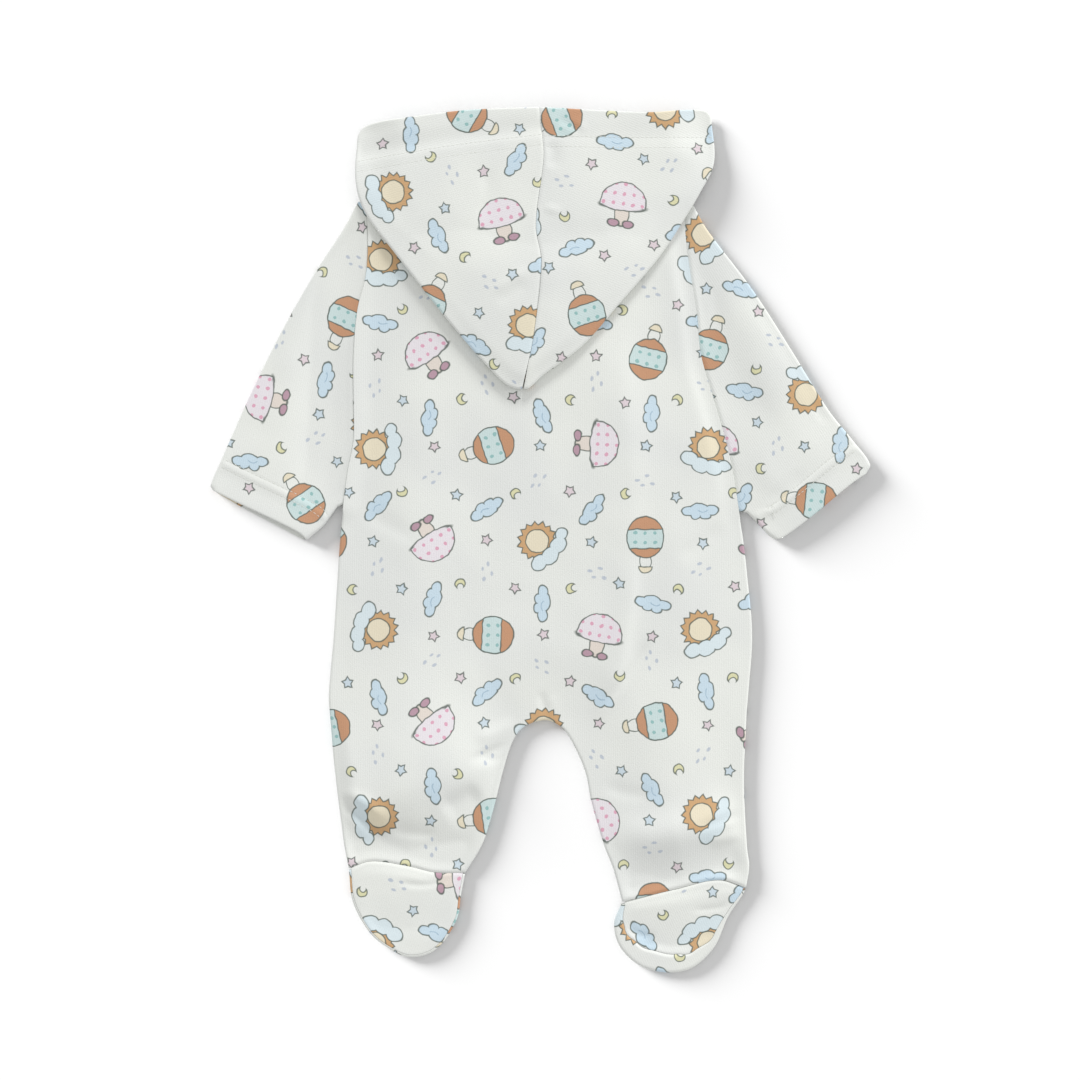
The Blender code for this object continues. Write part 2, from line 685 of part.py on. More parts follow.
# Sleeves: each one tube of cloth, flattened, with a turned hem at the cuff
for name, armhole, outer_spots, cuffs, underarm_spots in (
    ("sleeve_left", left_armhole, LEFT_SLEEVE, (LEFT_CUFF_UPPER, LEFT_CUFF), LEFT_UNDERARM),
    ("sleeve_right", right_armhole, RIGHT_SLEEVE, (RIGHT_CUFF, RIGHT_CUFF), RIGHT_UNDERARM),
):
    seam = moved(armhole, -SEAM_GAP)
    if name == "sleeve_right":
        seam.reverse()
    outer_edge = joined(
        [seam[0], outer_spots[0]], curve(outer_spots + [cuffs[0][0]], EDGE_STEP))
    underarm_edge = joined(
        curve(underarm_spots, EDGE_STEP), [underarm_spots[-1], seam[-1]])
    seam.reverse()
    layers = []
    for cuff_spots in cuffs:
        cuff = curve(cuff_spots + [underarm_edge[0]], EDGE_STEP)
        layer_edges = [
            Edge(True, outer_edge),
            Edge(False, cuff),
            Edge(True, underarm_edge),
            Edge(False, seam),
        ]
        if name == "sleeve_right":
            layer_edges = [Edge(edge.rolled, edge.line[::-1]) for edge in layer_edges[::-1]]
        layers.append((layer_edges, cuff))
    folds = [outer_edge, underarm_edge]
    upper_edges, upper_cuff = layers[0]
    hem_side = CUFF_HEM if name == "sleeve_left" else -CUFF_HEM
    hem_guides = [
        spaced(moved(upper_cuff, hem_side - HEM_EDGE / 2), EDGE_STEP),
        spaced(moved(upper_cuff, hem_side + HEM_EDGE / 2), EDGE_STEP),
    ]

    def hem_share(point):
        """1 in the cuff's hem, 0 above it."""
        return smooth_step(0.5 + (CUFF_HEM - line_distance(point, upper_cuff)) / HEM_EDGE)

    def cuff_share(point):
        """1 near the cuff, 0 well up the arm."""
        away = line_distance(point, upper_cuff) / CUFF_REACH
        return smooth_step(1.0 + CUFF_FLAT_SHARE - away)

    def fold_half(point):
        """Half the height of the sleeve's folded edges here."""
        from_seam = smooth_step(line_distance(point, seam) / SLEEVE_SEAM_REACH)
        height = SLEEVE_SEAM_HEIGHT + (SLEEVE_HEIGHT - SLEEVE_SEAM_HEIGHT) * from_seam
        return 0.5 * (height + (CUFF_HEIGHT - height) * cuff_share(point))

    def sleeve_top(point):
        """Height of the sleeve's upper layer."""
        half = fold_half(point)
        depth = line_distance(point, *folds)
        crown = SLEEVE_CROWN * smooth_step(depth / SLEEVE_CROWN_REACH)
        crown *= smooth_step(line_distance(point, seam) / SLEEVE_CROWN_START)
        crown *= 1.0 - CUFF_FLATTENING * cuff_share(point)
        rise = HEM_RISE * hem_share(point) * smooth_step(depth / HEM_FADE)
        return half + fold_profile(depth, half) + crown + rise

    def sleeve_bottom(point):
        """Height of the sleeve's lower layer."""
        half = fold_half(point)
        return half - fold_profile(line_distance(point, *folds), half)

    bm = bmesh.new()
    add_layer(bm, plan_mesh(upper_edges, SLEEVE_RINGS, SLEEVE_STEP, hem_guides), sleeve_top)
    add_layer(bm, plan_mesh(layers[1][0], SLEEVE_RINGS, 2 * SLEEVE_STEP), sleeve_bottom, False)
    sleepsuit_piece(
        name, bm, PALE_KNIT,
        lambda point: CLOTH + (HEM_CLOTH - CLOTH) * hem_share(point))
    lower_outlines.append(outline_of(layers[1][0]))
    sleeve_guides.append(outer_edge)


def under_hood(point):
    """Height of the top of what the hood lies on."""
    depth = max(signed_depth(point, outline) for outline in lower_outlines)
    height = ROLL_HEIGHT + LAYER_GAP
    if depth > 0.0:
        return height + body_crown(point)
    return height * (1.0 - smooth_step(-depth / HOOD_STEP))


def hood_level(y):
    """Height the hood's upper layer settles at, away from its folds."""
    if y >= HOOD_LEVELS[0].y:
        return HOOD_LEVELS[0].height
    for upper, lower in zip(HOOD_LEVELS, HOOD_LEVELS[1:]):
        if y >= lower.y:
            share = smooth_step((upper.y - y) / (upper.y - lower.y))
            return upper.height + (lower.height - upper.height) * share
    return HOOD_LEVELS[-1].height


# Hood: two halves, each folded round at the side, that meet along the middle seam
hood_seam = curve([HOOD_TOP_MIDDLE] + HOOD_SEAM + [HOOD_POINT], EDGE_STEP)
under_seam = denser(
    spaced([HOOD_POINT, Spot(-3.0, 190.0), FACE_MIDDLE], EDGE_STEP), NECK_MIDDLE, HOOD_STEP)
for name, side, top_spots, side_spots, hem_spots, face_spots, shoulder in (
    ("hood_left", -1, HOOD_TOP_LEFT, HOOD_SIDE_LEFT, HOOD_HEM_LEFT, FACE_EDGE_LEFT,
     SHOULDER_LEFT),
    ("hood_right", 1, HOOD_TOP_RIGHT, HOOD_SIDE_RIGHT, HOOD_HEM_RIGHT, FACE_EDGE_RIGHT,
     SHOULDER_RIGHT),
):

    def beside(line, seam_gap):
        """The middle line moved to this half's side, a little further near the point."""
        result = []
        for spot in line:
            near_point = smooth_step(1.0 - (spot.y - HOOD_POINT.y) / HOOD_STEP)
            gap = seam_gap + (HOOD_POINT_GAP - seam_gap) * near_point
            result.append(Spot(spot.x + side * gap / 2, spot.y))
        return result

    seam = beside(hood_seam, SEAM_GAP)
    lower_seam = beside(under_seam, UNDER_SEAM_GAP)
    side_fold = joined(curve(side_spots, EDGE_STEP), [side_spots[-1], seam[-1]])
    side_fold = denser(side_fold, shoulder, 2 * HOOD_STEP)
    if side < 0:
        top_edge = curve([seam[0]] + top_spots[::-1] + [side_fold[0]], EDGE_STEP)
    else:
        top_edge = curve([seam[0]] + top_spots + [side_fold[0]], EDGE_STEP)
    face_edge = curve([lower_seam[-1]] + face_spots[::-1] + [side_fold[0]], EDGE_STEP)
    upper_edges = [Edge(False, top_edge), Edge(True, side_fold), Edge(False, seam[::-1])]
    lower_edges = [Edge(False, face_edge), Edge(True, side_fold), Edge(False, lower_seam)]
    if side > 0:
        upper_edges = [Edge(edge.rolled, edge.line[::-1]) for edge in upper_edges[::-1]]
        lower_edges = [Edge(edge.rolled, edge.line[::-1]) for edge in lower_edges[::-1]]
    lower_outline = outline_of(lower_edges)
    hem_line = curve(hem_spots, EDGE_STEP)
    hem_guides = [
        [Spot(spot.x, spot.y - HEM_EDGE / 2) for spot in hem_line],
        [Spot(spot.x, spot.y + HEM_EDGE / 2) for spot in hem_line],
    ]

    def hem_share(point):
        """1 in the hem along the face opening, 0 below it."""
        line_y = hem_line[0].y
        for start, end in zip(hem_line, hem_line[1:]):
            if start.x <= point.x <= end.x:
                share = (point.x - start.x) / (end.x - start.x)
                line_y = start.y + (end.y - start.y) * share
        if point.x > hem_line[-1].x:
            line_y = hem_line[-1].y
        return smooth_step(0.5 + (point.y - line_y) / HEM_EDGE)

    def hood_top(point):
        """Height of the hood's upper layer."""
        base = under_hood(point)
        half = 0.5 * HOOD_FOLD_HEIGHT
        depth = line_distance(point, side_fold)
        folded = base + half + fold_profile(depth, half)
        over_layer = smooth_step(1.0 + signed_depth(point, lower_outline) / HOOD_UNDER_REACH)
        level = hood_level(point.y)
        level += (max(level, base + HOOD_FOLD_HEIGHT) - level) * over_layer
        blend = smooth_step((depth - half) / HOOD_BLEND)
        rise = HEM_RISE * hem_share(point) * smooth_step(depth / HEM_FADE)
        return folded + (level - folded) * blend + rise

    def hood_bottom(point):
        """Height of the hood's under layer."""
        half = 0.5 * HOOD_FOLD_HEIGHT
        return under_hood(point) + half - fold_profile(line_distance(point, side_fold), half)

    bm = bmesh.new()
    upper_guides = hem_guides + shoulder_guides
    add_layer(bm, plan_mesh(upper_edges, HOOD_RINGS, HOOD_STEP_SIZE, upper_guides), hood_top)
    add_layer(
        bm, plan_mesh(lower_edges, HOOD_RINGS, HOOD_STEP_SIZE, shoulder_guides + sleeve_guides),
        hood_bottom, False)
    sleepsuit_piece(name, bm, PALE_KNIT)

# Feet: a toe piece that turns up round the foot, and a sole on top of it
for side, foot_spots, sole_insets, heel_seam, roll_spots in (
    ("left", LEFT_FOOT, LEFT_SOLE_INSET, left_heel, LEFT_HEEL_ROLL),
    ("right", RIGHT_FOOT, RIGHT_SOLE_INSET, right_heel, RIGHT_HEEL_ROLL),
):
    foot_edge = curve(foot_spots, FOOT_EDGE_STEP)
    sole_seam = moved(foot_edge, [-inset for inset in eased(sole_insets, len(foot_edge))])
    roll_line = curve(roll_spots, FOOT_EDGE_STEP)

    def foot_height(point):
        """Height of the foot's outside over the floor."""
        depth = line_distance(point, foot_edge)
        lean = 1.0 - min(depth / FOOT_RADIUS, 1.0)
        crown = FOOT_CROWN * smooth_step((depth - FOOT_RADIUS) / FOOT_CROWN_REACH)
        return FOOT_WALL + FOOT_RISE * math.sqrt(1.0 - lean * lean) + crown

    def roll_rise(point):
        """Extra height of the roll of cloth below the heel seam."""
        return HEEL_ROLL * math.exp(-(line_distance(point, roll_line) / HEEL_ROLL_WIDTH) ** 2)

    rows = []
    floor_line = moved(foot_edge, -FOOT_FLOOR_INSET)
    low_line = moved(foot_edge, -FOOT_LOW_INSET)
    for place, spot in enumerate(foot_edge):
        row = [(floor_line[place].x, floor_line[place].y, 0.0)]
        row.append((low_line[place].x, low_line[place].y, FOOT_LOW_HEIGHT))
        end = sole_seam[place]
        for share in FOOT_TOP_SHARES:
            across = Spot(spot.x + (end.x - spot.x) * share, spot.y + (end.y - spot.y) * share)
            row.append((across.x, across.y, foot_height(across)))
        rows.append(row)
    bm = bmesh.new()
    loft(bm, rows)
    base_edges = [Edge(False, floor_line[::-1]), Edge(False, [floor_line[0], floor_line[-1]])]
    add_layer(bm, plan_mesh(base_edges, (), 3 * FOOT_STEP), lambda point: 0.0, False)
    sleepsuit_piece("toe_" + side, bm, SOLE_KNIT)

    sole_edge = moved(sole_seam, -SOLE_GAP)
    heel_edge = moved(heel_seam, -SEAM_GAP)
    sole_edges = [
        Edge(False, sole_edge[-2:0:-1] + [heel_edge[-2]]),
        Edge(False, heel_edge[-2:0:-1]),
        Edge(False, [heel_edge[1], sole_edge[-2]]),
    ]
    ring_lines = [moved(foot_edge, -depth) for depth in SOLE_RINGS]
    bm = bmesh.new()
    add_layer(
        bm, plan_mesh(sole_edges, (), FOOT_STEP, ring_lines),
        lambda point: foot_height(point) + roll_rise(point))
    sleepsuit_piece("sole_" + side, bm, SOLE_KNIT, lambda point: CLOTH + roll_rise(point))
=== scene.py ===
import math
from collections import namedtuple

import bmesh
import bpy
import numpy as np
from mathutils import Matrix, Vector
from mathutils.geometry import delaunay_2d_cdt
from mathutils.kdtree import KDTree


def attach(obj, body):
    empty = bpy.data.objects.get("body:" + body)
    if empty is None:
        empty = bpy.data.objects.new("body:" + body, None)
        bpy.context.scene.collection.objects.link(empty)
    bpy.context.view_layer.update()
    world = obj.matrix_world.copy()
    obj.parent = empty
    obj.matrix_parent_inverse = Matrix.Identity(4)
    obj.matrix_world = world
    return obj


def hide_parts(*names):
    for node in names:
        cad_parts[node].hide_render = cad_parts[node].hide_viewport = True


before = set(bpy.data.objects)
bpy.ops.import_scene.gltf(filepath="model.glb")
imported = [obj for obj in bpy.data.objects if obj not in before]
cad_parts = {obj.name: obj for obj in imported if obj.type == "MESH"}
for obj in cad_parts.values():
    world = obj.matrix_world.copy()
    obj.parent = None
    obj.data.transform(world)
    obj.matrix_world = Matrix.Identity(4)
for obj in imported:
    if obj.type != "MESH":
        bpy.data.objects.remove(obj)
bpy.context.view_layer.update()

# ---------------------------------------
# The cloth: off-white cotton interlock, brushed soft, with a small pastel nursery
# print of clouds, stars, crescents, suns, balloons and toadstools in pale fills and
# thin grey-green outlines. Every piece of the suit is cut from it.
CLOTH_WHITE = "D9DBD6"
CLOTH_SHADE = "D4D6D3"
OUTLINE_GREEN = "515B54"
CLOUD_BLUE = "BCCED9"
CLOUD_LIGHT = "CBD7DB"
CLOUD_CURL = "92AABB"
SUN_TAN = "C19C72"
CREAM = "D8CFB8"
BALLOON_BROWN = "B98C6D"
MINT = "BECFCE"
MINT_DOT = "8CB2B0"
CAP_PINK = "D8D3D7"
PINK_DOT = "D09EB1"
STALK_CREAM = "D4CBC2"
LEAF_MAUVE = "AE8F9C"
STAR_PINK = "CFC2C7"
STAR_BLUE = "BECBD3"
MOON_YELLOW = "CFCDA6"
LILAC_GREY = "B3BAC3"

MOTIF_PITCH = (74.0, 63.0)      # mm between large motifs along a row, and between rows
SMALL_PITCH = (37.0, 31.5)      # mm between the places for stars and crescents
MOTIF_WANDER = 6.0              # mm a large motif strays from its place
SMALL_WANDER = 5.0
LINE_WIDTH = 0.8                # mm, as wide as the printed outlines
LINE_SOFTNESS = 0.24            # mm that the ink bleeds into the brushed face
LINE_STRENGTH = 0.9
HAND_WAVES = 0.17               # waves to a mm, in which hand-drawn shapes wander
HAND_STRAY = 1.5                # mm, how far
TINT_WAVES = 0.012              # waves to a mm, in which the cloth's white changes
DOT_WAVES = 0.95                # radians to a mm between the small dots
FAR_OFF = 900.0                 # mm, where a motif that isn't wanted goes
WALE_SPACING = 1.5              # mm; interlock has 1.0, drawn coarser so that it shows
NAP_SIZE = 0.9                  # mm between tufts of the brushed face
RIB_SHARE = 0.12                # of the face's height that the ribs make up
NAP_PAINTED_SHADE_AND_HIGHLIGHT = (0.955, 1.02)      # painted shade darkens the colour in its hollows, and a painted highlight lightens its tips
BUMP_STRENGTH = 0.35
BUMP_DEPTH = 0.0004             # m


def from_hex(code):
    """The linear colour of an sRGB hex value."""
    channels = [int(code[place:place + 2], 16) / 255 for place in (0, 2, 4)]
    return tuple(
        value / 12.92 if value <= 0.04045 else ((value + 0.055) / 1.055) ** 2.4
        for value in channels) + (1.0,)


def new_material(name):
    """An empty node material."""
    made = bpy.data.materials.new(name)
    made.use_nodes = True
    made.node_tree.nodes.clear()
    return made


def add(tree, kind, *inputs, named={}, **settings):
    """Add a node with its settings, and link or fill its inputs, in turn or by name."""
    made = tree.nodes.new(kind)
    for name, value in settings.items():
        setattr(made, name, value)
    in_turn = zip([socket for socket in made.inputs if socket.enabled], inputs)
    for socket, value in [*in_turn, *((made.inputs[name], named[name]) for name in named)]:
        if isinstance(value, bpy.types.Node):
            value = next(output for output in value.outputs if output.enabled)
        if isinstance(value, bpy.types.NodeSocket):
            tree.links.new(value, socket)
        elif value is not None:
            socket.default_value = from_hex(value) if isinstance(value, str) else value
    return made


knit = new_material("printed_brushed_cotton_interlock")
tree = knit.node_tree
cloth_map = add(tree, "ShaderNodeUVMap", uv_map="cloth")
cloth_place = add(tree, "ShaderNodeVectorMath", cloth_map, (1000, 1000, 0), operation="MULTIPLY")
hand = add(tree, "ShaderNodeTexNoise", cloth_place, HAND_WAVES, 1.0, noise_dimensions="2D")
hand_off = add(tree, "ShaderNodeVectorMath", hand.outputs["Color"], (HAND_STRAY, HAND_STRAY, 0),
               (-HAND_STRAY / 2, -HAND_STRAY / 2, 0), operation="MULTIPLY_ADD")
drawn_place = add(tree, "ShaderNodeVectorMath", cloth_place, hand_off, operation="ADD")


def scattered(pitch, shift, wander):
    """Motifs in staggered rows: the place in one, its column and row, if that is odd, its luck."""
    from_shift = add(tree, "ShaderNodeVectorMath", drawn_place, (*shift, 0), operation="SUBTRACT")
    cell = add(tree, "ShaderNodeVectorMath", from_shift, (*pitch, 1), operation="DIVIDE")
    x, y = add(tree, "ShaderNodeSeparateXYZ", cell).outputs[:2]
    row = add(tree, "ShaderNodeMath", y, operation="ROUND")
    odd = add(tree, "ShaderNodeMath", row, 1.0, operation="PINGPONG")
    half = add(tree, "ShaderNodeMath", odd, 0.5, operation="MULTIPLY")
    from_half = add(tree, "ShaderNodeMath", x, half, operation="SUBTRACT")
    column = add(tree, "ShaderNodeMath", from_half, operation="ROUND")
    staggered = add(tree, "ShaderNodeMath", column, half, operation="ADD")
    centre = add(tree, "ShaderNodeCombineXYZ", staggered, row)
    luck = add(tree, "ShaderNodeTexWhiteNoise", centre, noise_dimensions="2D")
    from_centre = add(tree, "ShaderNodeVectorMath", cell, centre, operation="SUBTRACT")
    place = add(tree, "ShaderNodeVectorMath", from_centre, (*pitch, 0), operation="MULTIPLY")
    stray = add(tree, "ShaderNodeVectorMath", luck.outputs["Color"], (wander, wander, 0),
                (-wander / 2, -wander / 2, 0), operation="MULTIPLY_ADD")
    strayed = add(tree, "ShaderNodeVectorMath", place, stray, operation="ADD")
    turn = add(tree, "ShaderNodeMath", luck.outputs["Value"], math.tau, operation="MULTIPLY")
    turned = add(tree, "ShaderNodeVectorRotate", strayed, (0, 0, 0), turn, rotation_type="Z_AXIS")
    return turned, staggered, row, odd, luck


def sent_off(place, test):
    """The place, sent far off its motif where the test is 0."""
    far = add(tree, "ShaderNodeMath", test, -FAR_OFF, FAR_OFF, operation="MULTIPLY_ADD")
    return add(tree, "ShaderNodeVectorMath", place, far, operation="ADD")


def oval(place, x, y, width, height):
    """Distance in mm from an oval's edge, less than 0 inside it."""
    across = add(tree, "ShaderNodeVectorMath", place, (2 / width, 2 / height, 0),
                 (-2 * x / width, -2 * y / height, 0), operation="MULTIPLY_ADD")
    radius = add(tree, "ShaderNodeVectorMath", across, operation="LENGTH").outputs["Value"]
    size = min(width, height) / 2
    return add(tree, "ShaderNodeMath", radius, size, -size, operation="MULTIPLY_ADD")


def rayed(place, tip, notch, count):
    """Distance in mm from the edge of a star with straight sides, less than 0 inside it."""
    sector = math.pi / count
    side = math.atan2(tip - notch * math.cos(sector), notch * math.sin(sector))
    x, y = add(tree, "ShaderNodeSeparateXYZ", place).outputs[:2]
    angle = add(tree, "ShaderNodeMath", y, x, operation="ARCTAN2")
    folded = add(tree, "ShaderNodeMath", angle, sector, operation="PINGPONG")
    from_side = add(tree, "ShaderNodeMath", folded, side, operation="SUBTRACT")
    lean = add(tree, "ShaderNodeMath", from_side, operation="COSINE")
    away = add(tree, "ShaderNodeVectorMath", place, operation="LENGTH").outputs["Value"]
    return add(tree, "ShaderNodeMath", away, lean, -tip * math.cos(side), operation="MULTIPLY_ADD")


def either(*shapes):
    """One shape that covers several."""
    result = shapes[0]
    for shape in shapes[1:]:
        result = add(tree, "ShaderNodeMath", result, shape, operation="MINIMUM")
    return result


def ovals(place, *sizes):
    """One shape that covers several ovals."""
    return either(*[oval(place, *size) for size in sizes])


def printed(under, shape, fill, line=LINE_WIDTH):
    """Print a filled shape and its outline over what is there."""
    within = add(tree, "ShaderNodeMapRange", shape, LINE_SOFTNESS, -LINE_SOFTNESS, 0.0, 1.0)
    filled = add(tree, "ShaderNodeMix", within, under, fill, data_type="RGBA")
    if not line:
        return filled
    away = add(tree, "ShaderNodeMath", shape, operation="ABSOLUTE")
    ink = add(tree, "ShaderNodeMapRange", away, line / 2 + LINE_SOFTNESS, line / 2 - LINE_SOFTNESS,
              0.0, LINE_STRENGTH)
    return add(tree, "ShaderNodeMix", ink, filled, OUTLINE_GREEN, data_type="RGBA")


# Small dots, printed on the balloon's band and on the toadstool's cap
large, large_x, large_row, _, _ = scattered(MOTIF_PITCH, (0, 0), MOTIF_WANDER)
dot_place = add(tree, "ShaderNodeVectorMath", large, (DOT_WAVES, DOT_WAVES, 0),
                operation="MULTIPLY")
dot_x, dot_y = [add(tree, "ShaderNodeMath", part, operation="COSINE")
                for part in add(tree, "ShaderNodeSeparateXYZ", dot_place).outputs[:2]]
dot_wave = add(tree, "ShaderNodeMath", dot_x, dot_y, operation="ADD")
dots = add(tree, "ShaderNodeMapRange", dot_wave, 1.25, 1.45, 0.0, 1.0)
dotted_mint = add(tree, "ShaderNodeMix", dots, MINT, MINT_DOT, data_type="RGBA")
dotted_pink = add(tree, "ShaderNodeMix", dots, CAP_PINK, PINK_DOT, data_type="RGBA")

# Large motifs come three in turn, so that no two neighbours are alike
order = add(tree, "ShaderNodeMath", large_row, 1.5, large_x, operation="MULTIPLY_ADD")
motif = add(tree, "ShaderNodeMath", order, 3.0, operation="FLOORED_MODULO")
sun, balloon, toadstool = [
    sent_off(large, add(tree, "ShaderNodeMath", motif, number, 0.4, operation="COMPARE"))
    for number in (0.0, 1.0, 2.0)]

# The balloon has a band across it, thin ropes below and a basket cut off at its rim
balloon_y = add(tree, "ShaderNodeSeparateXYZ", balloon).outputs["Y"]
envelope = oval(balloon, 0, 3.5, 25, 28)
from_band = add(tree, "ShaderNodeMath", balloon_y, -2.5, operation="ADD")
band_away = add(tree, "ShaderNodeMath", from_band, operation="ABSOLUTE")
band_half = add(tree, "ShaderNodeMath", band_away, -6.5, operation="ADD")
band = add(tree, "ShaderNodeMath", band_half, envelope, operation="MAXIMUM")
from_ropes = add(tree, "ShaderNodeMath", oval(balloon, 0, -12, 8, 12), operation="ABSOLUTE")
ropes = add(tree, "ShaderNodeMath", from_ropes, -0.3, operation="ADD")
rim = add(tree, "ShaderNodeMath", balloon_y, 16.5, operation="ADD")
basket = add(tree, "ShaderNodeMath", oval(balloon, 0, -16, 9, 9.5), rim, operation="MAXIMUM")

# The toadstool's cap is a dome with a rounded rim
toadstool_y = add(tree, "ShaderNodeSeparateXYZ", toadstool).outputs["Y"]
below = add(tree, "ShaderNodeMath", toadstool_y, -1.0, -2.0, operation="MULTIPLY_ADD")
dome = add(tree, "ShaderNodeMath", oval(toadstool, 0, 0, 31, 29), below, operation="MAXIMUM")
cap = either(dome, oval(toadstool, 0, -1.5, 30, 6.5))

# Clouds, each with a little curl drawn in it, and loose drops fill the gaps between them
cloud = scattered(MOTIF_PITCH, (37, 21), SMALL_WANDER)[0]
from_curl = add(tree, "ShaderNodeMath", oval(cloud, 1.5, 1.6, 7, 4.6), operation="ABSOLUTE")
curl_line = add(tree, "ShaderNodeMath", from_curl, -0.25, operation="ADD")
cloud_y = add(tree, "ShaderNodeSeparateXYZ", cloud).outputs["Y"]
under_curl = add(tree, "ShaderNodeMath", cloud_y, -0.6, operation="ADD")
curl = add(tree, "ShaderNodeMath", curl_line, under_curl, operation="MAXIMUM")
drop = scattered(MOTIF_PITCH, (0, 42), SMALL_WANDER)[0]

# Stars and crescents lie half way between the large motifs
small, small_x, small_row, small_odd, luck = scattered(SMALL_PITCH, (0, 0), SMALL_WANDER)
small_order = add(tree, "ShaderNodeMath", small_row, 0.5, small_x, operation="MULTIPLY_ADD")
parity = add(tree, "ShaderNodeMath", small_order, 2.0, operation="FLOORED_MODULO")
small_kind = add(tree, "ShaderNodeMath", small_odd, 2.0, parity, operation="MULTIPLY_ADD")
moon_test = add(tree, "ShaderNodeMath", small_kind, 2.0, 0.4, operation="COMPARE")
any_test = add(tree, "ShaderNodeMath", small_kind, 0.5, operation="GREATER_THAN")
star_test = add(tree, "ShaderNodeMath", any_test, moon_test, operation="SUBTRACT")
star = sent_off(small, star_test)
star_luck = add(tree, "ShaderNodeMath", luck.outputs["Value"], 0.5, operation="GREATER_THAN")
star_fill = add(tree, "ShaderNodeMix", star_luck, STAR_PINK, STAR_BLUE, data_type="RGBA")
moon = sent_off(small, moon_test)
bitten = add(tree, "ShaderNodeMath", oval(moon, 2.2, 1, 5, 5), -1.0, operation="MULTIPLY")
crescent = add(tree, "ShaderNodeMath", oval(moon, 0, 0, 7, 7), bitten, operation="MAXIMUM")

tint = add(tree, "ShaderNodeTexNoise", cloth_place, TINT_WAVES, 2.0, noise_dimensions="2D")
tint_share = add(tree, "ShaderNodeMapRange", tint.outputs["Fac"], 0.35, 0.65, 0.0, 1.0)
colour = add(tree, "ShaderNodeMix", tint_share, CLOTH_WHITE, CLOTH_SHADE, data_type="RGBA")
for shape, fill, *line in (
    # the sun, a cream disc in a ring of tan rays, sinks behind a little cloud
    (rayed(sun, 13.6, 11, 15), SUN_TAN),
    (oval(sun, 0, 0, 15.5, 15.5), CREAM),
    (ovals(sun, (-10.5, -10.5, 12, 9.5), (-2, -13, 13, 10.5), (7, -12.5, 12.5, 10),
           (14, -9.5, 9, 7.5)), CLOUD_LIGHT),
    # the balloon is brown with a dotted mint band, and its basket is cream
    (ropes, OUTLINE_GREEN, 0),
    (basket, CREAM),
    (envelope, BALLOON_BROWN),
    (band, dotted_mint),
    # the toadstool has a cream stalk, a pair of mauve leaves and a pale cap with pink dots
    (oval(toadstool, 0, -6.5, 10, 17.5), STALK_CREAM),
    (ovals(toadstool, (-5, -13.5, 7.5, 5), (5, -13.5, 7.5, 5)), LEAF_MAUVE),
    (cap, dotted_pink),
    # a cloud is five puffs and a curl
    (ovals(cloud, (-8, 0, 9, 6.6), (-1, 1, 13, 8.6), (7.5, 0.6, 9.5, 6.6), (-3.5, -2.6, 7, 5.4),
           (3, -2.8, 7.5, 5.6)), CLOUD_BLUE),
    (curl, CLOUD_CURL, 0),
    # the drops, stars and crescents
    (ovals(drop, (-6, 0, 3.4, 2), (0.5, 3, 3.4, 2), (4.5, -2.5, 3.4, 2), (-2.5, -3.5, 2.8, 1.8)),
     LILAC_GREY, 0),
    (rayed(star, 4, 2.3, 5), star_fill),
    (crescent, MOON_YELLOW),
):
    colour = printed(colour, shape, fill, *line)

# The face of the knit: fine ribs one wale apart under a short uneven nap
rib_place = add(tree, "ShaderNodeSeparateXYZ", cloth_place).outputs["X"]
rib_turns = add(tree, "ShaderNodeMath", rib_place, math.tau / WALE_SPACING, operation="MULTIPLY")
ribs = add(tree, "ShaderNodeMath", rib_turns, operation="SINE")
nap = add(tree, "ShaderNodeTexNoise", cloth_place, 1.0 / NAP_SIZE, 3.0, 0.6, noise_dimensions="2D")
face = add(tree, "ShaderNodeMath", ribs, RIB_SHARE, nap.outputs["Fac"], operation="MULTIPLY_ADD")
bump = add(tree, "ShaderNodeBump", BUMP_STRENGTH, BUMP_DEPTH, None, face)
# painted shade in the hollows of the ribs and nap, and a painted highlight on their tips, follow
# the bump's height
painted_nap_shade = add(tree, "ShaderNodeMapRange", face, 0.2, 0.8, *NAP_PAINTED_SHADE_AND_HIGHLIGHT)
colour_with_painted_nap_shade = add(tree, "ShaderNodeVectorMath", colour, painted_nap_shade, operation="MULTIPLY")
knit_shader = add(tree, "ShaderNodeBsdfPrincipled", colour_with_painted_nap_shade, named={
    "Normal": bump, "Roughness": 0.92, "Specular IOR Level": 0.25, "Sheen Weight": 0.25,
    "Sheen Roughness": 0.55})
add(tree, "ShaderNodeOutputMaterial", knit_shader)

# ---------------------------------------
# The back: one panel for the back of the body and of both legs. It lies on the two
# fronts with about two thicknesses of air, its side edges turn round and under, and
# it sinks into soft creases at the ankles and down the right of the body.
CLOTH = 1.5                     # mm, the thickness of one layer
BODY_STEP = 2.4                 # mm between the points of the mesh
EDGE_STEP = 1.7
BACK_HEIGHT = 5.0               # mm, the back's face above the surface, at its sides
BACK_EDGE = 2.3                 # mm, the height of the turned edge's middle
BACK_ROLL = 1.9                 # mm, how far in the edge's roundness reaches
LEFT_ARMHOLE_EDGE = 6.4         # mm, the height of the back's edge where a sleeve is sewn on
RIGHT_ARMHOLE_EDGE = 5.4
ARMHOLE_REACH = 15.0            # mm, how far it draws the face beside it
LEFT_HEEL_HEIGHT = 4.6          # mm, the height of the heels' seams
RIGHT_HEEL_HEIGHT = 5.2
HEEL_REACH = 8.0
BACK_CROWN = 2.6                # mm more in the middle
BACK_CROWN_REACH = 55.0
UNDER_TURN = 2.3                # mm, how far the edge turns under
DEEPEST_FOLD = 1.4              # mm that a fold may sink below the sides' height
FOLD_FADE = 12.0                # mm from an edge to where creases are whole
SEAM_DIP = 0.6                  # mm that cloth sinks into a seam
SEAM_REACH = 1.9
CLEARANCE = 0.05                # mm kept free over the surface
ARMHOLE_EDGE_REACH = 8.0        # mm past an armhole to where the edge is low again
